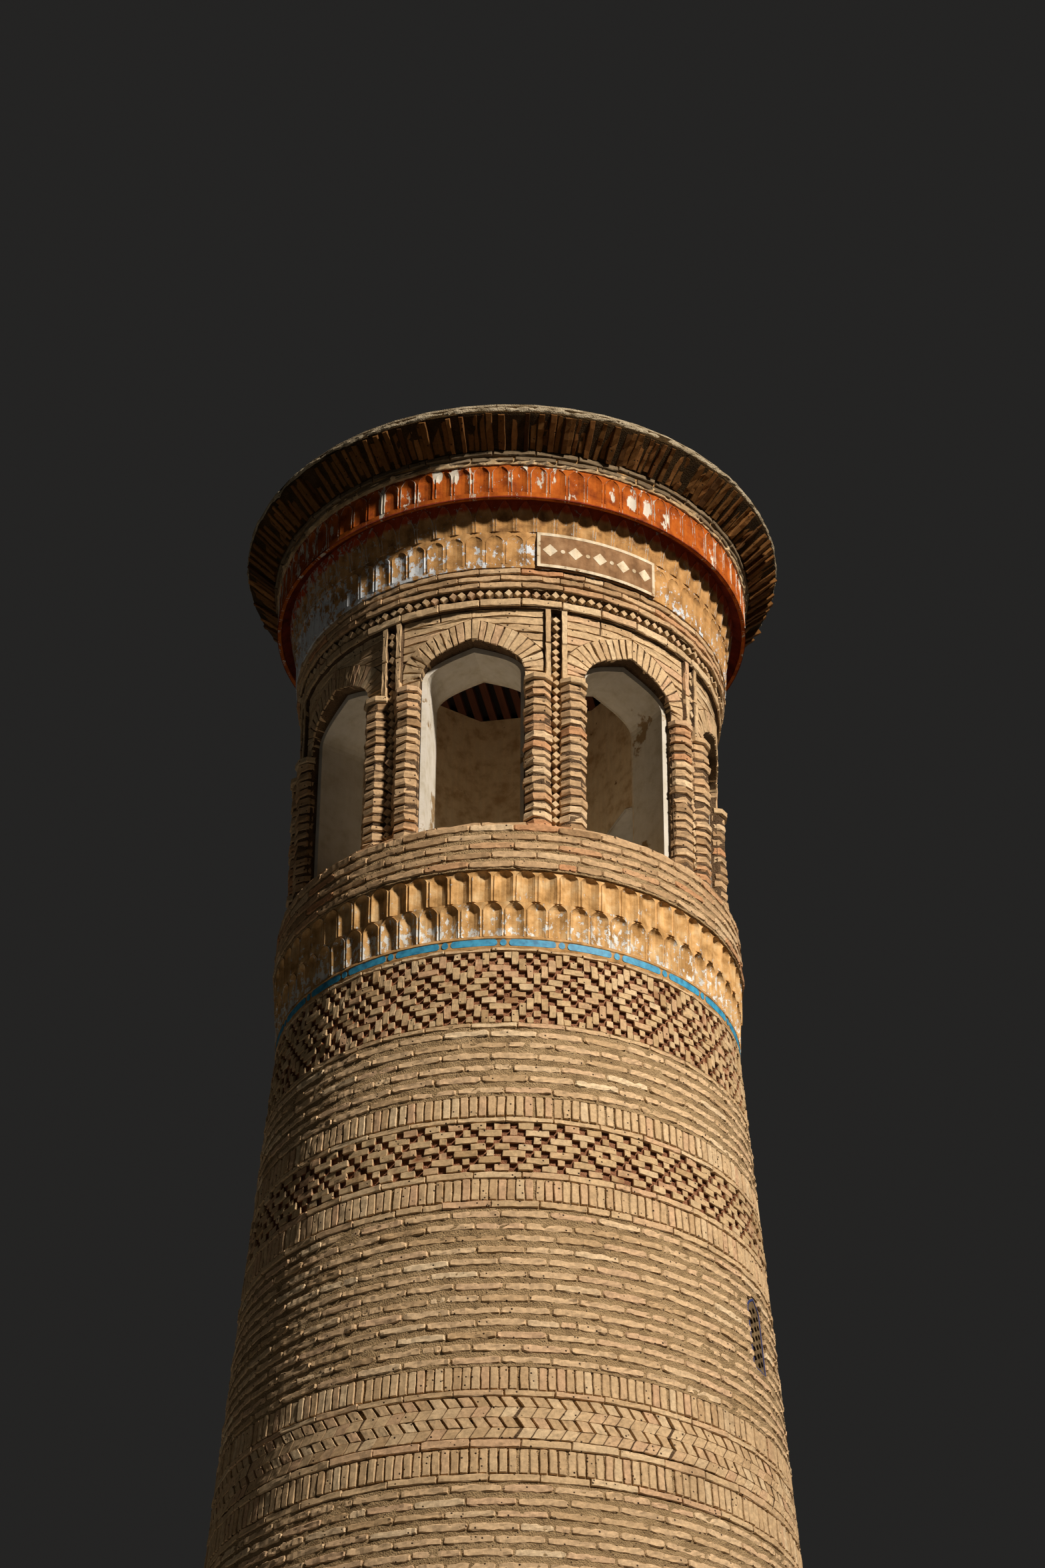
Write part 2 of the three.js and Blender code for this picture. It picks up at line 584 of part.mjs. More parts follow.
// Ceiling: joists bedded on the wall head, with boards laid across them
function ceiling() {
  const low = SOFFIT;
  const boardsLow = SOFFIT + JOIST_DEPTH;
  const apothem = CEILING_APOTHEM - JOINT;
  let timber = octagonCore(boardsLow, boardsLow + BOARD_THICKNESS, apothem, apothem);
  const room = octagonCore(low, boardsLow + 1, apothem, apothem);
  const pitch = (2 * LANTERN_APOTHEM) / JOIST_COUNT;
  for (let joist = 0; joist < JOIST_COUNT; joist += 1) {
    const x = (joist - (JOIST_COUNT - 1) / 2) * pitch;
    const beam = upright([
      [x - JOIST_WIDTH / 2, -CEILING_APOTHEM], [x + JOIST_WIDTH / 2, -CEILING_APOTHEM],
      [x + JOIST_WIDTH / 2, CEILING_APOTHEM], [x - JOIST_WIDTH / 2, CEILING_APOTHEM],
    ], 0, low, boardsLow + 1);
    timber = timber.add(beam.intersect(room));
  }
  add('ceiling', timber, 'timber');
}

// Roof: earth fill on the boards under a low rendered dome
function roof() {
  const fillLow = SOFFIT + JOIST_DEPTH + BOARD_THICKNESS + JOINT;
  const fill = octagonCore(fillLow, EAVE_TOP + 1, CEILING_APOTHEM - JOINT, CEILING_APOTHEM - JOINT);
  const span = EAVE_RADIUS - 25;
  const edge = 35;
  const sphere = (span * span + ROOF_RISE * ROOF_RISE) / (2 * ROOF_RISE);
  const profile = [[0, EAVE_TOP], [span, EAVE_TOP], [span, EAVE_TOP + edge]];
  const rings = 4;
  for (let i = 1; i <= rings; i += 1) {
    const radius = span * (1 - i / rings);
    profile.push([radius, EAVE_TOP + edge + Math.sqrt(sphere * sphere - radius * radius) - (sphere - ROOF_RISE)]);
  }
  add('roof', turned(profile).add(fill), 'lime');
}

add('ground_floor', groundFloor(), 'screedFloor');
lowerWall();
shaftBands();
latticeWindow();
lowerNiches();
sillRing();
lanternFloor();
arcade();
brickCornice();
upperNiches();
redFrieze();
eave();
ceiling();
roof();

export default minaret;
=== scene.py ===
import math
import random

import bmesh
import bpy
from mathutils import Matrix, Vector


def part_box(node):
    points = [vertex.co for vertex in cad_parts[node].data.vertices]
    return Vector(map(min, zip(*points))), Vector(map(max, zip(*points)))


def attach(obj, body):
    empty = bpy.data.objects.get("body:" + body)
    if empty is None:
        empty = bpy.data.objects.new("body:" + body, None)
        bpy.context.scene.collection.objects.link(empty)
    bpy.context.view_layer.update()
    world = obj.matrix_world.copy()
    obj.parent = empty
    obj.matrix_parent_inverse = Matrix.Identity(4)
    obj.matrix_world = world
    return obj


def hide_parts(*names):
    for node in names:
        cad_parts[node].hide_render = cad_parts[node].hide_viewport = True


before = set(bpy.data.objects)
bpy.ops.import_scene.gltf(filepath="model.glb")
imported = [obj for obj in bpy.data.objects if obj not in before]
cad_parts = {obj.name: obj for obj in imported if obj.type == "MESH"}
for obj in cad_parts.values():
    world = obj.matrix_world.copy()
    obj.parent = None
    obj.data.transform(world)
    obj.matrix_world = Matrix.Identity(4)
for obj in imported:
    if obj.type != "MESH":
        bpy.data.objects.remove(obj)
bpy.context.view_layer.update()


# Camera: it stands on the ground 18.7 m from the tower's axis, a little to the right of the arch that
# faces -Y. A long lens looks up at the lantern, as in the photo.
PHOTO_HEIGHT = 2352
FOCAL_PIXELS = 5553
SENSOR_HEIGHT = 36.0
CAMERA_AZIMUTH = 10.7
CAMERA_DISTANCE = 18.66
EYE_HEIGHT = 1.6
CAMERA_PITCH = 34.14
CAMERA_YAW = 0.23
CAMERA_ROLL = 0.36


def at(azimuth, radius, height=0.0):
    """The point at an azimuth in degrees, where 0 is -Y and 90 is +X, and at a radius and a height."""
    angle = math.radians(azimuth)
    return Vector((math.sin(angle), -math.cos(angle), 0.0)) * radius + Vector((0, 0, height))


camera_data = bpy.data.cameras.new("photo_camera")
camera_data.sensor_fit = "VERTICAL"
camera_data.sensor_height = SENSOR_HEIGHT
camera_data.lens = FOCAL_PIXELS * SENSOR_HEIGHT / PHOTO_HEIGHT
camera_data.clip_end = 200.0
camera = bpy.data.objects.new("photo_camera", camera_data)
bpy.context.collection.objects.link(camera)
turn = Matrix.Rotation(math.radians(CAMERA_AZIMUTH - CAMERA_YAW), 4, "Z")
turn = turn @ Matrix.Rotation(math.radians(90.0 + CAMERA_PITCH), 4, "X")
turn = turn @ Matrix.Rotation(math.radians(CAMERA_ROLL), 4, "Z")
camera.matrix_world = Matrix.Translation(at(CAMERA_AZIMUTH, CAMERA_DISTANCE, EYE_HEIGHT)) @ turn
bpy.context.scene.camera = camera


# Studio: a pale matt floor, one soft light high on the right, weak ones from behind and inside, and an even
# pale surround. The lights have honeycombs, so that little of their light falls on the floor.
FLOOR_HALF = 60


def linear(code):
    """An sRGB hex colour as the linear values that shaders take."""
    parts = [int(code[i:i + 2], 16) / 255 for i in (1, 3, 5)]
    return tuple(c / 12.92 if c <= 0.04045 else ((c + 0.055) / 1.055) ** 2.4 for c in parts) + (1.0,)


def node(tree, kind, links=None, **settings):
    """Adds a node with its settings, and fills its inputs from values, sockets or nodes' first outputs."""
    made = tree.nodes.new(kind)
    for name, value in settings.items():
        setattr(made, name, value)
    for key, value in (links or {}).items():
        if isinstance(value, bpy.types.Node):
            value = value.outputs[0]
        if isinstance(value, bpy.types.NodeSocket):
            tree.links.new(value, made.inputs[key])
        else:
            made.inputs[key].default_value = value
    return made


def blank_material(name, roughness, shine=0.5):
    """A material with its shader, and the object's own coordinates to draw patterns on."""
    material = bpy.data.materials.new(name)
    material.use_nodes = True
    tree = material.node_tree
    shader = tree.nodes["Principled BSDF"]
    shader.inputs["Roughness"].default_value = roughness
    shader.inputs["Specular IOR Level"].default_value = shine
    place = node(tree, "ShaderNodeTexCoord").outputs["Object"]
    return material, tree, shader, place


def linked(name, data):
    """Puts a mesh or a lamp into the scene as an object of its own."""
    thing = bpy.data.objects.new(name, data)
    bpy.context.collection.objects.link(thing)
    return thing


floor_mesh = bpy.data.meshes.new("floor")
floor_corners = [(x * FLOOR_HALF, y * FLOOR_HALF, 0) for x, y in ((-1, -1), (1, -1), (1, 1), (-1, 1))]
floor_mesh.from_pydata(floor_corners, [], [(0, 1, 2, 3)])
floor = linked("floor", floor_mesh)
floor_paint, _, floor_shader, _ = blank_material("matt_studio_floor", 0.9)
floor_shader.inputs["Base Color"].default_value = linear("#B4B1AB")
floor_mesh.materials.append(floor_paint)


def soft_light(name, place, aim_height, size, spread, watts, tint):
    """A square area light that looks at a height on the tower's axis."""
    data = bpy.data.lights.new(name, "AREA")
    data.size = size
    data.spread = math.radians(spread)
    data.energy = watts
    data.color = linear(tint)[:3]
    facing = (Vector((0, 0, aim_height)) - place).to_track_quat("-Z", "Y").to_matrix().to_4x4()
    linked(name, data).matrix_world = Matrix.Translation(place) @ facing


soft_light("key_light", at(CAMERA_AZIMUTH + 38, 24.0, 30.0), aim_height=10.5, size=2.4, spread=80, watts=2700,
           tint="#FFF5EA")
soft_light("back_light", at(CAMERA_AZIMUTH + 160, 24.0, 10.0), aim_height=10.5, size=12.0, spread=60,
           watts=60, tint="#FFF4E6")
# A weak lamp on the lantern's floor shines up, as the sunlit floor does in the photo
soft_light("lantern_glow", at(0, 0, 13.2), aim_height=15.0, size=1.0, spread=170, watts=3.0, tint="#FFEBD2")
world = bpy.data.worlds.new("studio_surround")
world.use_nodes = True
surround = world.node_tree.nodes["Background"]
surround.inputs["Color"].default_value = linear("#BDBBB8")
surround.inputs["Strength"].default_value = 0.035
bpy.context.scene.world = world
bpy.context.scene.view_settings.view_transform = "Standard"


# Masonry of the whole tower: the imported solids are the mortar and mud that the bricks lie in.
# Every brick is a fired clay slab of its own, laid on that surface and standing a little out of it.
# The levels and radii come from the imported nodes, so that each course lies on its own band.
BRICK_RELIEF = 0.008
# Dry fired clay, mortar and lime paint are powdery and give back hardly any gloss
DRY_CLAY_SHINE = 0.15


def low(name):
    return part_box(name)[0][2]


def high(name):
    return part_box(name)[1][2]


def reach(name):
    """The outer radius of a packed ring."""
    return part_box(name)[1][0]


GROUND_FACE = reach("lower_wall_right") + BRICK_RELIEF
SHAFT_TOP = low("turquoise_strip")
SHAFT_TOP_FACE = reach("turquoise_strip") + 0.002
BATTER = (GROUND_FACE - SHAFT_TOP_FACE) / SHAFT_TOP
LEAN = -math.degrees(math.atan(BATTER))


def face_radius(height):
    """The radius of the shaft's brick faces at a height."""
    return GROUND_FACE - BATTER * height


def in_a_metre(millimetres):
    """How many grains, pits or patches of a size lie in a metre, to two figures, as a pattern's scale."""
    return float(f"{1000 / millimetres:.2g}")


def colour_stops(ramp, stops):
    """Sets a colour ramp from (position, hex colour) pairs in order."""
    elements = ramp.color_ramp.elements
    for element, (position, colour) in zip(elements, (stops[0], stops[-1])):
        element.position = position
        element.color = linear(colour)
    for position, colour in stops[1:-1]:
        elements.new(position).color = linear(colour)


def surface(tree, shader, colour, relief, strength, depth):
    """Gives the shader its colour and a grain, whose bumps are this many metres deep."""
    tree.links.new(colour, shader.inputs["Base Color"])
    bump = node(tree, "ShaderNodeBump", {"Height": relief, "Strength": strength, "Distance": depth})
    tree.links.new(bump.outputs[0], shader.inputs["Normal"])


PIT_SHARE = 0.13
PIT_EDGE = 0.08
PIT_BROWN = "#2C1D10"


def small_pits(tree, place, spacing, left_out):
    """Small round holes, one for each stretch of this many millimetres, apart from a share left out."""
    cells = node(tree, "ShaderNodeTexVoronoi", {"Vector": place, "Scale": in_a_metre(spacing)})
    pits = node(tree, "ShaderNodeMapRange", {"Value": cells, "From Min": PIT_SHARE,
                                             "From Max": PIT_SHARE + PIT_EDGE, "To Min": 1.0, "To Max": 0.0})
    chosen = node(tree, "ShaderNodeMath", {0: cells.outputs["Color"], 1: left_out}, operation="GREATER_THAN")
    return node(tree, "ShaderNodeMath", {0: pits, 1: chosen}, operation="MULTIPLY").outputs[0]


GRIME = "#7A6248"
# What washes down between the bricks stains their sides, from this far behind their faces
STAIN_START = 0.006
STAIN_FULL = 0.011


def stained_sides(tree, place, colour, stain):
    """The colour of a brick that goes over to a stain behind the shaft's leaning face."""
    parts = node(tree, "ShaderNodeSeparateXYZ", {0: place})
    face = node(tree, "ShaderNodeMapRange", {"Value": parts.outputs[2], "From Max": SHAFT_TOP,
                                             "To Min": GROUND_FACE, "To Max": SHAFT_TOP_FACE})
    across = node(tree, "ShaderNodeCombineXYZ", {0: parts, 1: parts.outputs[1]})
    radius = node(tree, "ShaderNodeVectorMath", {0: across}, operation="LENGTH")
    depth = node(tree, "ShaderNodeMath", {0: face, 1: radius.outputs["Value"]}, operation="SUBTRACT")
    behind = node(tree, "ShaderNodeMapRange", {"Value": depth, "From Min": STAIN_START,
                                               "From Max": STAIN_FULL})
    return node(tree, "ShaderNodeMix", {0: behind, 6: colour, 7: linear(stain)}, data_type="RGBA").outputs[2]


def fired_brick(name, light, body, dark, rosy, grime_share=0.25, stain=None):
    """Hand-moulded fired clay: each brick burnt to its own tone, pitted where straw burnt out, and rough to
    the touch. The sides of the shaft's bricks may be stained."""
    material, tree, shader, place = blank_material(name, 0.92, DRY_CLAY_SHINE)
    tone = node(tree, "ShaderNodeAttribute", attribute_name="tone").outputs["Fac"]
    burnt = node(tree, "ShaderNodeValToRGB", {"Fac": tone})
    colour_stops(burnt, ((0.0, dark), (0.22, body), (0.55, body), (0.68, rosy), (0.8, body), (1.0, light)))
    # Patches of grime and lime a foot wide, so the tone drifts across the wall
    cloud = node(tree, "ShaderNodeTexNoise", {"Vector": place, "Scale": in_a_metre(312), "Detail": 5.0,
                                              "Roughness": 0.62})
    grimy = node(tree, "ShaderNodeMapRange", {"Value": cloud, "From Min": 0.5, "From Max": 0.78,
                                              "To Max": grime_share})
    dirtied = node(tree, "ShaderNodeMix", {0: grimy, 6: burnt.outputs[0], 7: linear(GRIME)},
                   data_type="RGBA", blend_type="MULTIPLY")
    # Blotches inside one brick, about 20 mm across
    blotch = node(tree, "ShaderNodeTexNoise", {"Vector": place, "Scale": in_a_metre(21.7), "Detail": 4.0,
                                               "Roughness": 0.7})
    uneven = node(tree, "ShaderNodeMapRange", {"Value": blotch, "From Min": 0.3, "From Max": 0.75,
                                               "To Min": 0.68, "To Max": 1.2})
    colour = node(tree, "ShaderNodeVectorMath", {0: dirtied.outputs[2], "Scale": uneven},
                  operation="SCALE").outputs[0]
    if stain:
        colour = stained_sides(tree, place, colour, stain)
    # Pits 5 to 10 mm wide, about 30 mm apart
    open_pits = small_pits(tree, place, 30, 0.58)
    pitted = node(tree, "ShaderNodeMix", {0: open_pits, 6: colour, 7: linear(PIT_BROWN)}, data_type="RGBA")
    # Sand grain, drawn 4 mm coarse so that it shows
    grit = node(tree, "ShaderNodeTexNoise", {"Vector": place, "Scale": in_a_metre(3.85), "Detail": 3.0,
                                             "Roughness": 0.7})
    grain = node(tree, "ShaderNodeMath", {0: grit, 1: 0.35}, operation="MULTIPLY")
    relief = node(tree, "ShaderNodeMath", {0: grain, 1: open_pits}, operation="SUBTRACT")
    surface(tree, shader, pitted.outputs[2], relief, strength=0.6, depth=0.004)
    return material


def rough_mortar(name, body, pale, dark):
    """Clay and lime mortar, pressed in by hand and washed out by rain, with grit and straw holes."""
    material, tree, shader, place = blank_material(name, 0.96, DRY_CLAY_SHINE)
    cloud = node(tree, "ShaderNodeTexNoise", {"Vector": place, "Scale": in_a_metre(111), "Detail": 6.0,
                                              "Roughness": 0.68})
    mixed = node(tree, "ShaderNodeValToRGB", {"Fac": cloud})
    colour_stops(mixed, ((0.3, dark), (0.5, body), (0.72, pale)))
    # Crumbs of 8 mm with sand of 5 mm between them
    crumbs = node(tree, "ShaderNodeTexVoronoi", {"Vector": place, "Scale": in_a_metre(8.3)})
    grit = node(tree, "ShaderNodeTexNoise", {"Vector": place, "Scale": in_a_metre(5.55), "Detail": 4.0,
                                             "Roughness": 0.75})
    uneven = node(tree, "ShaderNodeMapRange", {"Value": grit, "From Min": 0.3, "From Max": 0.7,
                                               "To Min": 0.72, "To Max": 1.16})
    mottled = node(tree, "ShaderNodeVectorMath", {0: mixed, "Scale": uneven}, operation="SCALE")
    # Straw holes 4 to 8 mm wide, about 24 mm apart
    holes = small_pits(tree, place, 24, 0.6)
    holed = node(tree, "ShaderNodeMix", {0: holes, 6: mottled.outputs[0], 7: linear(PIT_BROWN)},
                 data_type="RGBA")
    relief = node(tree, "ShaderNodeMath", {0: grit, 1: crumbs}, operation="ADD")
    surface(tree, shader, holed.outputs[2], relief, strength=0.9, depth=0.006)
    return material


buff_brick = fired_brick("buff_fired_brick", "#DEC59F", "#D1B28A", "#BA9B73", "#CFAC87")
clay_mortar = rough_mortar("clay_lime_mortar", "#A48963", "#B89D76", "#80694A")


def dress(material, *names):
    """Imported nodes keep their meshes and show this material."""
    for name in names:
        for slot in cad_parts[name].material_slots:
            slot.material = material


def interface(tree, inputs):
    """The named inputs of a node group, with its geometry in and out."""
    tree.interface.new_socket("Geometry", in_out="INPUT", socket_type="NodeSocketGeometry")
    for name, kind in inputs.items():
        tree.interface.new_socket(name, in_out="INPUT", socket_type="NodeSocket" + kind)
    tree.interface.new_socket("Geometry", in_out="OUTPUT", socket_type="NodeSocketGeometry")
    return node(tree, "NodeGroupInput").outputs


def weathered(tree, geometry, amount, bumps, seed):
    """Moves every point by smooth noise of this many bumps in a metre: amount is the most it moves."""
    position = node(tree, "GeometryNodeInputPosition")
    shifted = node(tree, "ShaderNodeVectorMath", {0: position, 1: seed}, operation="ADD")
    noise = node(tree, "ShaderNodeTexNoise", {"Vector": shifted, "Scale": bumps, "Detail": 2.0})
    centred = node(tree, "ShaderNodeVectorMath", {0: noise.outputs["Color"], 1: (0.5, 0.5, 0.5)},
                   operation="SUBTRACT")
    offset = node(tree, "ShaderNodeVectorMath", {0: centred, "Scale": amount}, operation="SCALE")
    return node(tree, "GeometryNodeSetPosition", {"Geometry": geometry, "Offset": offset})


# Worn edges come every 22 mm and larger chips every 67 mm
WEAR_BUMPS = in_a_metre(21.7)
CHIP_BUMPS = in_a_metre(67)


def laying_tree():
    """Puts a brick on every point, turned as its point says, then wears the bricks."""
    tree = bpy.data.node_groups.new("laid_bricks", "GeometryNodeTree")
    given = interface(tree, {"Brick": "Object", "Wear": "Float", "Chips": "Float", "Unevenness": "Float",
                             "Seed": "Int", "Material": "Material"})
    shape = node(tree, "GeometryNodeObjectInfo", {"Object": given["Brick"]}, transform_space="ORIGINAL")
    turn = node(tree, "GeometryNodeInputNamedAttribute", {"Name": "turn"}, data_type="FLOAT_VECTOR")
    grow = node(tree, "GeometryNodeInputNamedAttribute", {"Name": "grow"}, data_type="FLOAT_VECTOR")
    facing = node(tree, "FunctionNodeEulerToRotation", {0: turn})
    placed = node(tree, "GeometryNodeInstanceOnPoints", {
        "Points": given["Geometry"], "Instance": shape.outputs["Geometry"], "Rotation": facing,
        "Scale": grow})
    uneven = given["Unevenness"]
    most = node(tree, "ShaderNodeCombineXYZ", {0: uneven, 1: uneven, 2: uneven})
    least = node(tree, "ShaderNodeVectorMath", {0: most, "Scale": -1.0}, operation="SCALE")
    tilt = node(tree, "FunctionNodeRandomValue", {0: least, 1: most, "Seed": given["Seed"]},
                data_type="FLOAT_VECTOR")
    tilted = node(tree, "GeometryNodeRotateInstances", {"Instances": placed, "Rotation": tilt})
    # A tilted brick also slips by about a tenth of its angle in metres, which is a millimetre or two
    slip = node(tree, "ShaderNodeVectorMath", {0: tilt, 1: (0.06, 0.14, 0.06)}, operation="MULTIPLY")
    moved = node(tree, "GeometryNodeTranslateInstances", {"Instances": tilted, "Translation": slip})
    tone_seed = node(tree, "ShaderNodeMath", {0: given["Seed"], 1: 7.0}, operation="ADD")
    tone = node(tree, "FunctionNodeRandomValue", {"Seed": tone_seed}, data_type="FLOAT")
    toned = node(tree, "GeometryNodeStoreNamedAttribute",
                 {"Geometry": moved, "Name": "tone", "Value": tone.outputs[1]},
                 domain="INSTANCE", data_type="FLOAT")
    solid = node(tree, "GeometryNodeRealizeInstances", {"Geometry": toned})
    worn = weathered(tree, solid, given["Wear"], WEAR_BUMPS, given["Seed"])
    chipped = weathered(tree, worn, given["Chips"], CHIP_BUMPS, given["Seed"])
    finished = node(tree, "GeometryNodeSetMaterial", {"Geometry": chipped, "Material": given["Material"]})
    node(tree, "NodeGroupOutput", {"Geometry": finished})
    return tree


def made_by(tree, piece, values):
    """Runs a node group on a piece and keeps the result as the piece's own plain mesh."""
    modifier = piece.modifiers.new(tree.name, "NODES")
    modifier.node_group = tree
    for item in tree.interface.items_tree:
        if item.in_out == "INPUT" and item.name in values:
            modifier[item.identifier] = values[item.name]
    bpy.context.view_layer.update()
    graph = bpy.context.evaluated_depsgraph_get()
    evaluated = piece.evaluated_get(graph)
    result = bpy.data.meshes.new_from_object(evaluated, preserve_all_data_layers=True, depsgraph=graph)
    piece.modifiers.clear()
    piece.data = result
    result.name = piece.name


def keep(piece, stands_for=()):
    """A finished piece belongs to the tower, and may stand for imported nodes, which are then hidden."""
    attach(piece, "root")
    if stands_for:
        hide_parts(*stands_for)


def joined(shape, here, there, closed=True):
    """Faces between two rows of as many points, and round from the last point to the first where closed."""
    count = len(here)
    for i in range(count if closed else count - 1):
        j = (i + 1) % count
        shape.faces.new((here[i], here[j], there[j], there[i]))


def closed_mesh(shape, name, material=None):
    """A shape as a mesh, with its faces turned outwards."""
    bmesh.ops.recalc_face_normals(shape, faces=shape.faces)
    data = bpy.data.meshes.new(name)
    shape.to_mesh(data)
    shape.free()
    if material:
        data.materials.append(material)
    return data


def brick_shape(name, length, tall, deep, along=4, up=2, edge=0.004, rounding=0.0):
    """A worn brick: its face is at y = 0 and looks along -y, with a soft edge all round, closed at the back.
    Along and up are how many parts its face has. Rounding is how much lower it is at its ends."""
    shape = bmesh.new()
    xs = [length * (i / along - 0.5) for i in range(along + 1)]
    zs = [tall * (i / up - 0.5) for i in range(up + 1)]

    def inset(value, half):
        return max(-half + edge, min(half - edge, value))

    face = [[shape.verts.new((inset(x, length / 2), 0, inset(z, tall / 2))) for x in xs] for z in zs]
    for lower, upper in zip(face, face[1:]):
        joined(shape, lower, upper, closed=False)
    loop = [(0, i) for i in range(along)] + [(row, along) for row in range(up)]
    loop += [(up, i) for i in range(along, 0, -1)] + [(row, 0) for row in range(up, 0, -1)]
    corners = [(0, 0), (0, along), (up, along), (up, 0)]
    rim = {}
    for row, i in loop:
        pull = 1 - edge / 3 / (length / 2) if (row, i) in corners else 1
        rise = 1 - edge / 3 / (tall / 2) if (row, i) in corners else 1
        rim[row, i] = shape.verts.new((xs[i] * pull, edge, zs[row] * rise))
    for here, there in zip(loop, loop[1:] + loop[:1]):
        shape.faces.new((face[here[0]][here[1]], rim[here], rim[there], face[there[0]][there[1]]))
    back = {(row, i): shape.verts.new((xs[i], deep, zs[row])) for row, i in corners}
    for here, there in zip(corners, corners[1:] + corners[:1]):
        start = loop.index(here)
        end = loop.index(there) or len(loop)
        side = [rim[loop[step % len(loop)]] for step in range(start, end + 1)]
        shape.faces.new(side + [back[there], back[here]])
    shape.faces.new([back[key] for key in corners])
    for vertex in shape.verts:
        vertex.co.z *= 1 - rounding * abs(vertex.co.x / (length / 2)) ** 9
    return closed_mesh(shape, name)


lay_bricks = laying_tree()


def brick(azimuth, radius, height, roll=0.0, tilt=0.0, grow=(1.0, 1.0, 1.0)):
    """Where one brick's face lies: roll turns it in the wall's face and tilt leans it."""
    turn = (math.radians(tilt), math.radians(roll), math.radians(azimuth))
    return (*at(azimuth, radius, height), *turn, *grow)


def laid(name, shape, bricks, material, seed, wear=0.016, chips=0.015, unevenness=0.010):
    """Lays one kind of brick at every place in a list, as one piece."""
    mesh = bpy.data.meshes.new(name)
    mesh.from_pydata([each[:3] for each in bricks], [], [])
    for label, first in (("turn", 3), ("grow", 6)):
        values = mesh.attributes.new(label, "FLOAT_VECTOR", "POINT")
        values.data.foreach_set("vector", [number for each in bricks for number in each[first:first + 3]])
    piece = linked(name, mesh)
    pattern = linked(name + "_brick", shape)
    made_by(lay_bricks, piece, {"Brick": pattern, "Wear": wear, "Chips": chips, "Unevenness": unevenness,
                                "Seed": seed, "Material": material})
    bpy.data.objects.remove(pattern)
    keep(piece)


# Plain walling: courses of bricks 250 by 46 mm with broad struck joints of clay mortar, broken like
# stretcher bond. The bricks are bedded in mortar that was pressed out almost flush, and they follow the
# shaft's taper.
BRICK_LENGTH = 0.250
BRICK_TALL = 0.046
BRICK_DEEP = 0.050
END_JOINT = 0.007
COURSE = 0.0693
BROKEN_SHARE = 0.07
SHORTEST_PART = 0.12
DOOR_AZIMUTH = 180.0
DOOR_HALF_WIDTH = 0.390
DOOR_SPRINGING = high("wall_left_of_door")
DOOR_RISE = 0.300
ARCH_BRICK = 0.138
WINDOW_AZIMUTH = 75.0
WINDOW_FOOT = low("window_frame")
WINDOW_HEAD = high("window_frame")
WINDOW_HALF_WIDTH = 0.091
WINDOW_RISE = 0.090


def cut_out(stretches, start, end):
    """What is left of (start, end) stretches of azimuth outside a gap."""
    left = [s for s in stretches if s[1] <= start or s[0] >= end]
    cut = [s for s in stretches if s not in left]
    left += [(a, start) for a, b in cut if a < start]
    return left + [(end, b) for a, b in cut if b > end]


def course(height, radius, shift, gaps=(), length=BRICK_LENGTH, tilt=0.0, tall=1.0, luck=None,
           end_joint=END_JOINT):
    """One course all round. Bricks are cut at gaps, given as (azimuth, half angle), and some are broken."""
    luck = luck or random.Random(round(height * 1e4))
    count = round(2 * math.pi * radius / (length + end_joint))
    pitch = 360 / count
    joint = math.degrees(end_joint / radius)
    placed = []
    for i in range(count):
        start = (i + shift) * pitch + joint * luck.uniform(0.2, 0.8)
        end = (i + 1 + shift) * pitch - joint * luck.uniform(0.2, 0.8)
        broken = start + (end - start) * luck.uniform(0.3, 0.7)
        stretches = [(start, end)]
        if luck.random() <= BROKEN_SHARE:
            stretches = [(start, broken - joint / 2), (broken + joint / 2, end)]
        for middle, half in gaps:
            for turns in (0, 360):
                stretches = cut_out(stretches, middle - half + turns, middle + half + turns)
        for a, b in stretches:
            size = math.radians(b - a) * radius / length
            if size > SHORTEST_PART:
                grow = (size, 1, tall * luck.uniform(0.86, 1.04))
                stands = radius + luck.uniform(-0.002, 0.0015)
                lies = height + luck.uniform(-0.003, 0.003)
                placed.append(brick((a + b) / 2, stands, lies, luck.uniform(-0.6, 0.6), tilt, grow))
    return placed


def courses(foot, head, gaps_at=lambda height: (), seed=0):
    """Whole courses of plain walling on the shaft between two heights."""
    count = round((head - foot) / COURSE)
    rise = (head - foot) / count
    placed = []
    for i in range(count):
        height = foot + (i + 0.5) * rise
        luck = random.Random(seed * 1000 + i)
        shift = 0.5 * (i % 2) + luck.uniform(-0.14, 0.14)
        placed += course(height, face_radius(height), shift=shift, gaps=gaps_at(height), tilt=LEAN, luck=luck)
    return placed


def near_door(height):
    """What the doorway and its brick surround take out of a course."""
    over = (height - DOOR_SPRINGING) / (DOOR_RISE + ARCH_BRICK)
    if over >= 1:
        return ()
    half = (DOOR_HALF_WIDTH + ARCH_BRICK) * math.sqrt(1 - max(0.0, over) ** 1.7)
    return ((DOOR_AZIMUTH, math.degrees(math.asin(half / face_radius(height)))),)


def near_window(height):
    """What the window's mouth takes out of a course."""
    if not WINDOW_FOOT - BRICK_TALL / 2 < height < WINDOW_HEAD + BRICK_TALL / 4:
        return ()
    crown = min(1.0, max(0.0, (height - (WINDOW_HEAD - WINDOW_RISE)) / WINDOW_RISE))
    half = WINDOW_HALF_WIDTH * (1 - 0.5 * crown)
    return ((WINDOW_AZIMUTH, math.degrees(half / face_radius(height))),)


SEAM = 0.00003
# Hand-laid surfaces swell and sink over about 170 mm
SWELLS = in_a_metre(167)


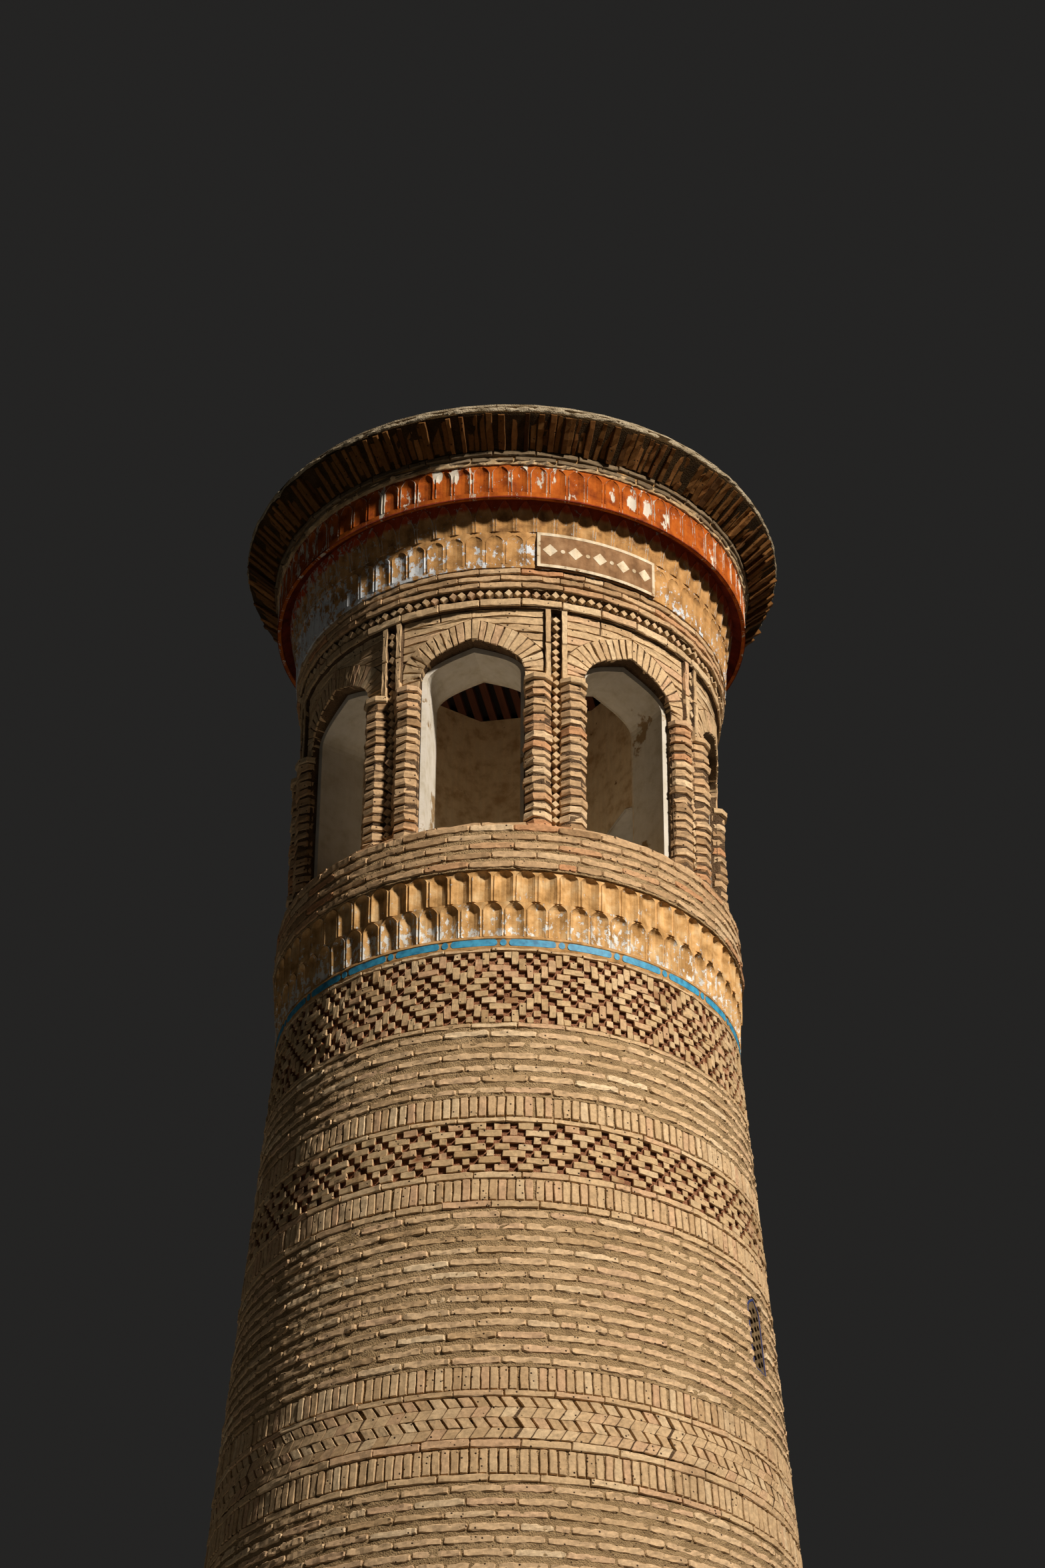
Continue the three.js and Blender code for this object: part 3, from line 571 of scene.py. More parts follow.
def wrapping_tree():
    """Repeats a flat cell along a line and bends the line round the tower. In a cell x runs from 0 to 1, y is
    the distance from the tower's axis and z the height."""
    tree = bpy.data.node_groups.new("ring_of_cells", "GeometryNodeTree")
    given = interface(tree, {"Count": "Int", "Left Out": "Int", "Start": "Float", "Rough": "Float",
                             "Bumps": "Float", "Swell": "Float", "Seed": "Int", "Material": "Material"})
    kept = node(tree, "ShaderNodeMath", {0: given["Count"], 1: given["Left Out"]}, operation="SUBTRACT")
    line = node(tree, "GeometryNodeMeshLine", {"Count": kept, "Offset": (1.0, 0.0, 0.0)})
    placed = node(tree, "GeometryNodeInstanceOnPoints", {"Points": line, "Instance": given["Geometry"]})
    solid = node(tree, "GeometryNodeRealizeInstances", {"Geometry": placed})
    whole = node(tree, "GeometryNodeMergeByDistance", {"Geometry": solid, "Distance": SEAM})
    position = node(tree, "GeometryNodeInputPosition")
    x, radius, height = node(tree, "ShaderNodeSeparateXYZ", {0: position}).outputs
    share = node(tree, "ShaderNodeMath", {0: x, 1: given["Count"]}, operation="DIVIDE")
    turned = node(tree, "ShaderNodeMath", {0: share, 1: 2 * math.pi}, operation="MULTIPLY")
    angle = node(tree, "ShaderNodeMath", {0: turned, 1: given["Start"]}, operation="ADD")
    sine = node(tree, "ShaderNodeMath", {0: angle}, operation="SINE")
    cosine = node(tree, "ShaderNodeMath", {0: angle}, operation="COSINE")
    right = node(tree, "ShaderNodeMath", {0: sine, 1: radius}, operation="MULTIPLY")
    ahead = node(tree, "ShaderNodeMath", {0: cosine, 1: radius}, operation="MULTIPLY")
    back = node(tree, "ShaderNodeMath", {0: ahead, 1: -1.0}, operation="MULTIPLY")
    where = node(tree, "ShaderNodeCombineXYZ", {0: right, 1: back, 2: height})
    bent = node(tree, "GeometryNodeSetPosition", {"Geometry": whole, "Position": where})
    closed = node(tree, "GeometryNodeMergeByDistance", {"Geometry": bent, "Distance": SEAM})
    rough = weathered(tree, closed, given["Rough"], given["Bumps"], given["Seed"])
    swollen = weathered(tree, rough, given["Swell"], SWELLS, given["Seed"])
    finished = node(tree, "GeometryNodeSetMaterial", {"Geometry": swollen, "Material": given["Material"]})
    node(tree, "NodeGroupOutput", {"Geometry": finished})
    return tree


bend_round = wrapping_tree()


def ring_of(name, grids, count, start, material, rough=0.003, bumps=40.0, swell=0.0, seed=1,
            stands_for=(), left_out=0):
    """A ring of equal cells, some of which may be left out just before its start. A cell is one or more grids
    of (x, radius, height) rows, each closed on itself. A point may go on with two marks: 1 on a thin crest,
    and 1 on the flat part over a hollow."""
    cell = bmesh.new()
    crest = cell.verts.layers.float.new("crest")
    over = cell.verts.layers.float.new("over")
    for rows in grids:
        made = []
        for row in rows:
            made.append([cell.verts.new(point[:3]) for point in row])
            for vertex, point in zip(made[-1], row):
                vertex[crest], vertex[over] = point[3:] or (0.0, 0.0)
        for lower, upper in zip(made, made[1:] + made[:1]):
            joined(cell, lower, upper, closed=False)
    data = bpy.data.meshes.new(name)
    cell.to_mesh(data)
    cell.free()
    piece = linked(name, data)
    made_by(bend_round, piece, {"Count": count, "Left Out": left_out, "Start": math.radians(start),
                                "Rough": rough, "Bumps": bumps, "Swell": swell, "Seed": seed,
                                "Material": material})
    ring = bmesh.new()
    ring.from_mesh(piece.data)
    bmesh.ops.dissolve_degenerate(ring, dist=SEAM / 1.5, edges=ring.edges)
    bmesh.ops.holes_fill(ring, edges=[edge for edge in ring.edges if edge.is_boundary])
    bmesh.ops.recalc_face_normals(ring, faces=ring.faces)
    ring.to_mesh(piece.data)
    ring.free()
    keep(piece, stands_for)


def even_cell(profile):
    """A cell that is the same all along, from (radius, height) points."""
    return [[(x, radius, height) for x in (0, 1)] for radius, height in profile]


SKIN_BACK = 0.030
SKIN_CELL = 0.030
SKIN_STEP = 0.017
MORTAR_RECESS = 0.0035


def mortar_skin(name, foot, head, seed, recess=MORTAR_RECESS, radius_at=face_radius, material=clay_mortar,
                rough=0.014, hole=None):
    """Mortar pressed out between bricks, as a rough skin that lies a little behind their faces. A hole is its
    middle's azimuth and half its width."""
    steps = max(2, round((head - foot) / SKIN_STEP))
    heights = [foot + (head - foot) * i / steps for i in range(steps + 1)]
    profile = [(radius_at(foot) - recess - SKIN_BACK, foot)]
    profile += [(radius_at(height) - recess, height) for height in heights]
    profile += [(radius_at(head) - recess - SKIN_BACK, head)]
    count = round(2 * math.pi * radius_at(foot) / SKIN_CELL)
    left_out = math.ceil(2 * hole[1] / SKIN_CELL) if hole else 0
    start = hole[0] + left_out * 180 / count if hole else 0
    ring_of(name, [even_cell(profile)], count, start, material, rough=rough, bumps=45.0, swell=0.005,
            seed=seed, left_out=left_out)


# The far foot has plain slabs, and the nearest nine courses and all above them have softly worn bricks
NEAR_COURSES = 9
UNDER_DIAMONDS = 0.038
far_shape = brick_shape("far_brick", BRICK_LENGTH, BRICK_TALL, BRICK_DEEP, along=2, up=1)
near_shape = brick_shape("near_brick", BRICK_LENGTH, BRICK_TALL, BRICK_DEEP, along=10, edge=0.007,
                         rounding=0.34)
wall_top = low("upright_course_1")
far_top = wall_top - NEAR_COURSES * COURSE
middle_wall_foot = high("upright_course_2")
middle_wall_top = low("upright_course_3")
upper_wall_foot = high("upright_course_4")
upper_wall_top = low("diamond_band_upper")
laid("foot_bricks", far_shape, courses(0.004, far_top, near_door, seed=1), buff_brick, seed=11)
laid("lower_wall_bricks", near_shape, courses(far_top, wall_top, seed=2), buff_brick, seed=12)
laid("middle_wall_bricks", near_shape, courses(middle_wall_foot, middle_wall_top, near_window, seed=3),
     buff_brick, seed=13)
laid("upper_wall_bricks", near_shape, courses(upper_wall_foot, upper_wall_top - UNDER_DIAMONDS, seed=4),
     buff_brick, seed=14)
mortar_skin("lower_wall_mortar", far_top, wall_top, seed=2)
mortar_skin("middle_wall_mortar_foot", middle_wall_foot, WINDOW_FOOT, seed=3)
mortar_skin("middle_wall_mortar_beside_window", WINDOW_FOOT, WINDOW_HEAD, seed=3,
            hole=(WINDOW_AZIMUTH, WINDOW_HALF_WIDTH))
mortar_skin("middle_wall_mortar_head", WINDOW_HEAD, middle_wall_top, seed=3)
mortar_skin("upper_wall_mortar", upper_wall_foot, upper_wall_top, seed=4)
dress(clay_mortar, *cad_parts)


# Upright courses: rows of bricks stood on end, 40 mm wide and 127 mm tall, with thin courses under or over
# them. They were set in panels, so at every panel's edge the joint is wider.
SOLDIER_WIDTH = 0.040
SOLDIER_PITCH = 0.0485
SOLDIER_TALL = 0.127
SOLDIER_PANELS = 12
PANEL_JOINT = 0.009
THIN_TALL = 0.038
THIN_JOINT = 0.011
UPRIGHT_BANDS = [f"upright_course_{i}" for i in (1, 2, 3, 4)]
# Each row's foot and head: what is left of its band is filled by thin courses
SOLDIERS_A = (low("upper_wall") - SOLDIER_TALL, low("upper_wall"))
SOLDIERS_B = (low("upright_course_3") + 0.051, low("diamond_band_lower") - 0.050)
SOLDIERS_C = (low("upright_course_2") + 0.043, low("middle_wall"))
SOLDIERS_D = (low("upright_course_1") + 0.050, low("chevron_band") - 0.057)
soldier_shape = brick_shape("soldier_brick", SOLDIER_WIDTH, SOLDIER_TALL, BRICK_DEEP, along=2, up=5,
                            edge=0.0035)
stretcher_shape = brick_shape("stretcher_brick", BRICK_LENGTH, THIN_TALL, BRICK_DEEP, along=7, edge=0.0035)
pale_brick = fired_brick("pale_fired_brick", "#D9BF98", "#CCAE85", "#BA9A72", "#CBA681", grime_share=0.35)
# This mortar is darker than the wall's: partly dust, partly painted shade deep in the joints.
joint_mortar_painted_shade = rough_mortar("deep_joint_mortar", "#66503A", "#7E684C", "#443424")


def soldiers(name, foot, head, first_joint, seed):
    """A row of upright bricks between two heights, in panels."""
    height = (foot + head) / 2
    radius = face_radius(height)
    panel = 360 / SOLDIER_PANELS
    panel_joint = math.degrees(PANEL_JOINT / radius)
    count = round(math.radians(panel - panel_joint) * radius / SOLDIER_PITCH)
    pitch = (panel - panel_joint) / count
    luck = random.Random(seed)
    placed = []
    for i in range(SOLDIER_PANELS):
        for j in range(count):
            azimuth = first_joint + i * panel + panel_joint / 2 + (j + 0.5) * pitch
            grow = (luck.uniform(0.93, 1.03), 1, (head - foot) / SOLDIER_TALL * luck.uniform(0.95, 1.0))
            stands = radius + luck.uniform(-0.003, 0.003)
            placed.append(brick(azimuth, stands, height, luck.uniform(-1.2, 1.2), LEAN, grow))
    laid(name, soldier_shape, placed, pale_brick, seed=seed, wear=0.007, chips=0.010)


soldiers("soldiers_a", *SOLDIERS_A, first_joint=16.4, seed=21)
soldiers("soldiers_b", *SOLDIERS_B, first_joint=16.4, seed=22)
soldiers("soldiers_c", *SOLDIERS_C, first_joint=13.2, seed=23)
soldiers("soldiers_d", *SOLDIERS_D, first_joint=13.2, seed=24)
strip_foot = low("turquoise_strip")
thin_bands = [
    (high("diamond_band_lower"), SOLDIERS_A[0]), (SOLDIERS_B[1], low("diamond_band_lower")),
    (low("upright_course_3"), SOLDIERS_B[0]), (low("upright_course_2"), SOLDIERS_C[0]),
    (SOLDIERS_D[1], low("chevron_band")), (low("upright_course_1"), SOLDIERS_D[0]),
    (upper_wall_top - UNDER_DIAMONDS, upper_wall_top), (strip_foot - 0.018, strip_foot + 0.012)]
placed = []
for i, (foot, head) in enumerate(thin_bands):
    height = (foot + head) / 2
    tall = (head - foot - THIN_JOINT) / THIN_TALL
    luck = random.Random(31 + i)
    placed += course(height, face_radius(height), shift=0.37 * i, tilt=LEAN, tall=tall, luck=luck)
laid("thin_courses", stretcher_shape, placed, pale_brick, seed=31, wear=0.010, chips=0.012)
# The deep joints of the upright bands get the dark mortar, as painted shade.
for i, band in enumerate(UPRIGHT_BANDS):
    mortar_skin(band + "_mortar", low(band), high(band), seed=31 + i, recess=0.012, material=joint_mortar_painted_shade,
                rough=0.008)


# Chevron band: four rows of slanting bricks that point left and right in turn and make upright zigzags.
# The bricks were cut to parallelograms. Rows that fall to the right stand with open joints, lined with a
# near-black sheet that is painted shade, and the rows that rise to the right are pressed together with a little
# dark mortar, partly painted shade as well.
CHEVRON_ROWS = 4
CHEVRON_PANELS = 12
CHEVRONS_A_PANEL = 11
CHEVRON_FIRST_JOINT = 13.2
CHEVRON_PANEL_JOINT = 0.45
FALLING_JOINT = 0.013
FALLING_RECESS = 0.018
RISING_JOINT = 0.004
RISING_RECESS = 0.005
chevron_foot = low("chevron_band")
chevron_row = (high("chevron_band") - chevron_foot) / CHEVRON_ROWS
chevron_panel = 360 / CHEVRON_PANELS
chevron_pitch = (chevron_panel - CHEVRON_PANEL_JOINT) / CHEVRONS_A_PANEL
chevron_radius = face_radius(chevron_foot + 2 * chevron_row)
chevron_run = math.radians(chevron_pitch) * chevron_radius / 2
# A near-black sheet in the falling rows' open joints: painted shade.
open_joint_painted_shade = rough_mortar("sooty_open_joint", "#33241A", "#463324", "#20150E")


def slanted(mesh, slant):
    """The brick leans sideways in the wall's face: slant is the run for its full height."""
    tall = max(v.co.z for v in mesh.vertices) - min(v.co.z for v in mesh.vertices)
    for vertex in mesh.vertices:
        vertex.co.x += slant * vertex.co.z / tall
    return mesh


def chevrons(name, way, rows, joint, recess, filling):
    """The rows of chevrons that lean one way: 1 rises to the right and -1 falls."""
    upright = brick_shape(name + "_shape", chevron_run * 2 - joint, chevron_row, BRICK_DEEP, up=3, edge=0.002)
    luck = random.Random(40 + way)
    placed = []
    for row in rows:
        foot = chevron_foot + row * chevron_row
        height = foot + chevron_row / 2
        mortar_skin(f"{name}_mortar_{row}", foot, foot + chevron_row, seed=41 + row, recess=recess,
                    material=filling, rough=0.008)
        for i in range(CHEVRON_PANELS * CHEVRONS_A_PANEL):
            panel, step = divmod(i, CHEVRONS_A_PANEL)
            azimuth = CHEVRON_FIRST_JOINT + panel * chevron_panel + CHEVRON_PANEL_JOINT / 2
            radius = face_radius(height) + luck.uniform(-0.0015, 0.0015)
            roll = luck.uniform(-0.8, 0.8)
            grow = (luck.uniform(0.96, 1.01), 1, luck.uniform(0.97, 1.01))
            placed.append(brick(azimuth + (step + 0.5) * chevron_pitch, radius, height, roll, LEAN, grow))
    laid(name, slanted(upright, way * chevron_run), placed, pale_brick, seed=45 + way, wear=0.006,
         chips=0.010)


chevrons("chevrons_falling", way=-1, rows=(1, 3), joint=FALLING_JOINT, recess=FALLING_RECESS,
         filling=open_joint_painted_shade)
chevrons("chevrons_rising", way=1, rows=(0, 2), joint=RISING_JOINT, recess=RISING_RECESS,
         filling=joint_mortar_painted_shade)


# Diamond bands: cut brick ends and halves that stand 20 mm out of a reddish mortar ground in diamond figures.
# A figure is laid out on a grid of half-brick ends, and repeats all the way round.
DIAMOND_EDGE = 0.002
DIAMOND_RECESS = 0.020
DIAMOND_JOINT = 0.0032
# The ground is coloured darker than plain reddish mortar: painted shade in the gaps between the bricks.
diamond_ground = rough_mortar("reddish_recessed_ground", "#94664A", "#A87C5A", "#6C4830")
cut_brick = fired_brick("cut_fired_brick", "#D0B58E", "#C6A97F", "#B09168", "#C29C78", stain="#7C4C2E")


def diamonds(name, band, rows, repeats, cells, middle, figure, seed, clear_high=0.0):
    """Lays one figure round a band, as (column, row, columns wide, rows tall) from the figure's centre."""
    foot = low(band)
    row_rise = (high(band) - clear_high - foot) / rows
    cell = 360 / repeats / cells
    width = math.radians(cell) * face_radius(foot + rows * row_rise / 2)
    full_length = 2 * width - DIAMOND_JOINT
    full_tall = row_rise - DIAMOND_JOINT
    shape = brick_shape(name + "_shape", full_length, full_tall, BRICK_DEEP, along=3, edge=DIAMOND_EDGE)
    luck = random.Random(seed)
    placed = []
    for i in range(repeats):
        for column, row, wide, tall in figure:
            height = foot + (rows / 2 + row) * row_rise
            grow = ((wide * width - DIAMOND_JOINT) / full_length * luck.uniform(0.97, 1.02), 1,
                    (tall * row_rise - DIAMOND_JOINT) / full_tall * luck.uniform(0.97, 1.02))
            placed.append(brick(middle + (i * cells + column) * cell,
                                face_radius(height) + luck.uniform(-0.006, 0.004), height,
                                luck.uniform(-1.6, 1.6), LEAN, grow))
    laid(name, shape, placed, cut_brick, seed=seed, wear=0.008, chips=0.014, unevenness=0.015)
    dress(diamond_ground, band)
    mortar_skin(name + "_ground", foot, high(band), seed=seed, recess=DIAMOND_RECESS, material=diamond_ground,
                rough=0.008)


def mirrored(part):
    """A figure's quarter, repeated to the left and below where it isn't on the middle lines."""
    whole = []
    for column, row, wide, tall in part:
        for side in ((1, -1) if column else (1,)):
            for way in ((1, -1) if row else (1,)):
                whole.append((side * column, way * row, wide, tall))
    return whole


small_figure = mirrored([(1.5, 0, 2, 1), (1.5, 3, 2, 1), (0, 1, 3, 1), (0, 2, 1, 1)])
small_figure += [(3, 1, 1, 1), (3, -1, 1, 1), (3, 2, 3, 1), (3, -2, 3, 1)]
diamonds("diamond_bricks_lower", "diamond_band_lower", rows=7, repeats=36, cells=6, middle=12.1,
         figure=small_figure, seed=51)
large_figure = mirrored([
    (0, 1, 1, 1), (1, 0, 1, 1), (0, 4, 1, 1), (1, 5, 1, 1), (4, 5, 1, 1), (3.5, 0, 2, 1), (2.5, 1, 2, 1),
    (1.5, 2, 2, 1), (0, 3, 3, 1), (4, 2.5, 1, 2), (3, 3.5, 1, 2), (2, 4.5, 1, 2)])
large_figure += [(5, 4, 1, 1), (5, -4, 1, 1), (5, 1.5, 1, 2), (5, -1.5, 1, 2)]
diamonds("diamond_bricks_upper", "diamond_band_upper", rows=11, repeats=21, cells=10, middle=8.8,
         figure=large_figure, seed=52, clear_high=0.018)


# Window: a frame of sawn wood brushed with thick blue paint, set flush in a pointed hole in the wall.
# The lattice behind it is cast gypsum plaster, coloured dark brown as painted shade for its deep holes. The
# paint has gone matt in the sun.
def two_tones(tree, place, size, detail, dark, light, start=0.0, end=1.0):
    """A colour that drifts between two tones in clouds of about this many millimetres."""
    cloud = node(tree, "ShaderNodeTexNoise", {"Vector": place, "Scale": in_a_metre(size), "Detail": detail})
    ramp = node(tree, "ShaderNodeValToRGB", {"Fac": cloud})
    colour_stops(ramp, ((start, dark), (end, light)))
    return ramp.outputs[0], cloud


blue_paint, tree, shader, place = blank_material("worn_blue_paint_on_wood", 0.6)
blue, _ = two_tones(tree, place, size=16.7, detail=4.0, dark="#18234C", light="#38467A")
tree.links.new(blue, shader.inputs["Base Color"])
dress(blue_paint, "window_frame")

# The weather side's wear is full at this x, on the photo's left
WEATHER_SIDE = -1.4
# A bare spot ends where its distance in half sizes, plus so much of the flakes' pattern, reaches the edge
PATCH_RAGGED = 2.4
PATCH_EDGE = 2.2


def plaster(name, body, pale, dark, flake, flake_share, low_edge, high_edge, flake_size=62, weather_side=0.0,
            crest_wear=0.0, over_paint=None, streaky=0.16, clusters=0.2, foot_wear=0.13, flake_stretch=1.0,
            bare_spots=()):
    """Hand-trowelled plaster under thin matt paint, which flakes off to a paler coat. Flakes of about
    flake_size millimetres come in clusters a hand or two wide, most of all near low_edge, on crests and on
    the weather side. Parts may be painted over in a second colour, and rain draws streaks. A bare spot is
    its middle and half its size along each axis, and its edge is ragged."""
    material, tree, shader, place = blank_material(name, 0.9, DRY_CLAY_SHINE)
    cloud = node(tree, "ShaderNodeTexNoise", {"Vector": place, "Scale": in_a_metre(91), "Detail": 6.0,
                                              "Roughness": 0.6})
    painted = node(tree, "ShaderNodeValToRGB", {"Fac": cloud})
    colour_stops(painted, ((0.32, dark), (0.5, body), (0.7, pale)))
    paint = painted.outputs[0]
    if over_paint:
        flat_part = node(tree, "ShaderNodeAttribute", attribute_name="over").outputs["Fac"]
        paint = node(tree, "ShaderNodeMix", {0: flat_part, 6: paint, 7: linear(over_paint)},
                     data_type="RGBA").outputs[2]
    # How far the coat has lifted: a fine pattern of flakes, more of it where the wall is wetter or thinner
    x, y, height = node(tree, "ShaderNodeSeparateXYZ", {0: place}).outputs
    near_foot = node(tree, "ShaderNodeMapRange", {"Value": height, "From Min": low_edge,
                                                  "From Max": high_edge, "To Min": foot_wear, "To Max": 0.0})
    near_side = node(tree, "ShaderNodeMapRange", {"Value": x, "From Min": WEATHER_SIDE, "From Max": 0.0,
                                                  "To Min": weather_side, "To Max": 0.0})
    flake_place = node(tree, "ShaderNodeMapping", {"Vector": place, "Scale": (1.0, 1.0, 1.0 / flake_stretch)})
    flakes = node(tree, "ShaderNodeTexNoise", {"Vector": flake_place, "Scale": in_a_metre(flake_size),
                                               "Detail": 6.0, "Roughness": 0.66})
    damp = node(tree, "ShaderNodeTexNoise", {"Vector": place, "Scale": in_a_metre(294), "Detail": 2.0})
    thin = node(tree, "ShaderNodeAttribute", attribute_name="crest").outputs["Fac"]
    lifted = node(tree, "ShaderNodeMath", {0: flakes, 1: near_foot}, operation="ADD")
    lifted = node(tree, "ShaderNodeMath", {0: lifted, 1: near_side}, operation="ADD")
    lifted = node(tree, "ShaderNodeMath", {0: damp, 1: clusters, 2: lifted}, operation="MULTIPLY_ADD")
    lifted = node(tree, "ShaderNodeMath", {0: thin, 1: crest_wear, 2: lifted}, operation="MULTIPLY_ADD")
    threshold = 1.0 - flake_share + clusters / 2
    flaked = node(tree, "ShaderNodeMapRange", {"Value": lifted, "From Min": threshold,
                                               "From Max": threshold + 0.03})
    for middle, half in bare_spots:
        scales = Vector([1 / size for size in half])
        scaled = node(tree, "ShaderNodeVectorMath", {0: place, 1: scales}, operation="MULTIPLY")
        away = node(tree, "ShaderNodeVectorMath", {0: scaled, 1: middle * scales}, operation="DISTANCE")
        ragged = node(tree, "ShaderNodeMath", {0: flakes, 1: PATCH_RAGGED, 2: away.outputs["Value"]},
                      operation="MULTIPLY_ADD")
        inside = node(tree, "ShaderNodeMapRange", {"Value": ragged, "From Min": PATCH_EDGE,
                                                   "From Max": PATCH_EDGE - 0.1})
        flaked = node(tree, "ShaderNodeMath", {0: flaked, 1: inside}, operation="MAXIMUM")
    bare = node(tree, "ShaderNodeMix", {0: flaked, 6: paint, 7: linear(flake)}, data_type="RGBA")
    streak_place = node(tree, "ShaderNodeMapping", {"Vector": place, "Scale": (1.0, 1.0, 0.18)})
    streaks = node(tree, "ShaderNodeTexNoise", {"Vector": streak_place, "Scale": in_a_metre(29.5),
                                                "Detail": 5.0})
    shade = node(tree, "ShaderNodeMapRange", {"Value": streaks, "From Min": 0.3, "From Max": 0.7,
                                              "To Min": 1.0 - 1.4 * streaky, "To Max": 1.0 + 0.6 * streaky})
    washed = node(tree, "ShaderNodeVectorMath", {0: bare.outputs[2], "Scale": shade}, operation="SCALE")
    # Trowel marks of about 11 mm, and the edge of the coat where it has flaked
    fine = node(tree, "ShaderNodeTexNoise", {"Vector": place, "Scale": in_a_metre(11.1), "Detail": 5.0,
                                             "Roughness": 0.65})
    coat = node(tree, "ShaderNodeMath", {0: fine, 1: flaked}, operation="SUBTRACT")
    surface(tree, shader, washed.outputs[0], coat, strength=0.5, depth=0.003)
    return material


# Dark brown lattice: painted shade for its holes.
lattice_plaster_painted_shade = plaster("pierced_gypsum_lattice", "#6E5B40", "#86704F", "#4C3D29", "#5E4C35",
                          flake_share=0.3, low_edge=10.0, high_edge=10.8)
dress(lattice_plaster_painted_shade, "window_lattice")


# Turquoise strip: glazed tile bars with rounded ends and a round tile between each two, inlaid in ochre
# mortar flush with the wall. The glaze is fired on, glossy once and now dulled by dust.
TILE_REPEATS = 26
TILE_COLUMNS = 14
TILE_LOW = strip_foot + 0.019
TILE_HIGH = strip_foot + 0.064
TILE_PHASE = 9.4
# Along one repeat, as shares of it
BAR_START = 0.155
BAR_END = 0.955
BAR_ROUNDING = 0.05
DOT_MIDDLE = 0.055
DOT_HALF = 0.056
TILE_BACK = -0.010
TILE_FRONT = 0.004
tile_radius = reach("turquoise_strip")
strip_head = high("turquoise_strip")
glaze, tree, shader, place = blank_material("turquoise_glaze_on_fired_clay", 0.62)
turquoise, _ = two_tones(tree, place, size=33, detail=5.0, dark="#1F6E92", light="#3A9BC0", start=0.32,
                         end=0.62)
tree.links.new(turquoise, shader.inputs["Base Color"])


def tile_grid(start, end, rounding):
    """One inlaid tile as a closed grid: its outline narrows over the rounding at both ends."""
    middle = (TILE_LOW + TILE_HIGH) / 2
    half = (TILE_HIGH - TILE_LOW) / 2
    rows = [[], [], [], []]
    corners = ((TILE_BACK, -1), (TILE_FRONT, -0.93), (TILE_FRONT, 0.93), (TILE_BACK, 1))
    for i in range(TILE_COLUMNS + 1):
        x = start + (end - start) * (1 - math.cos(math.pi * i / TILE_COLUMNS)) / 2
        near_end = min(x - start, end - x)
        tall = half * math.sqrt(max(0.0, 1 - max(0.0, 1 - near_end / rounding) ** 2))
        for row, (lift, share) in zip(rows, corners):
            row.append((x, tile_radius + lift, middle + tall * share))
    return rows


bar = tile_grid(BAR_START, BAR_END, BAR_ROUNDING)
dot = tile_grid(DOT_MIDDLE - DOT_HALF, DOT_MIDDLE + DOT_HALF, DOT_HALF)
ring_of("turquoise_tiles", [bar, dot], TILE_REPEATS, TILE_PHASE - DOT_MIDDLE * 360 / TILE_REPEATS, glaze,
        rough=0.0015, seed=61)
ochre_mortar = plaster("ochre_lime_mortar", "#B58B57", "#CBA271", "#8E6A40", "#C9B691", flake_share=0.25,
                       low_edge=12.2, high_edge=12.4)
bed_profile = [(tile_radius + lift, height) for lift, height in (
    (-0.030, strip_foot), (0.002, strip_foot), (0.004, TILE_LOW - 0.003), (0.001, TILE_LOW + 0.003),
    (0.001, TILE_HIGH - 0.003), (0.006, TILE_HIGH + 0.004), (0.003, strip_head), (-0.030, strip_head))]
ring_of("tile_bed", [even_cell(bed_profile)], 240, 0, ochre_mortar, rough=0.008, seed=62)
dress(ochre_mortar, "turquoise_strip")


# Lower niches: two tiers of small upright hollows in trowelled plaster, painted ochre and flaking to white
# gypsum. Each hollow has a rounded back, a thin ridge round it and a rounded hood, and the tiers break joint.
NICHES = 70
NICHE_PITCH = 360 / NICHES
RIDGE_INNER = 0.87
RIDGE_CREST = 0.935
# Points across a hollow, as shares of half its width
ACROSS = (-1.0, -RIDGE_CREST, -RIDGE_INNER, -0.62, -0.25, 0.25, 0.62, RIDGE_INNER, RIDGE_CREST, 1.0)
# Levels of a hood, as shares of its rise
HOOD_LEVELS = (0.12, 0.28, 0.46, 0.64, 0.8, 0.92, 1.0)
NEVER = 99.0


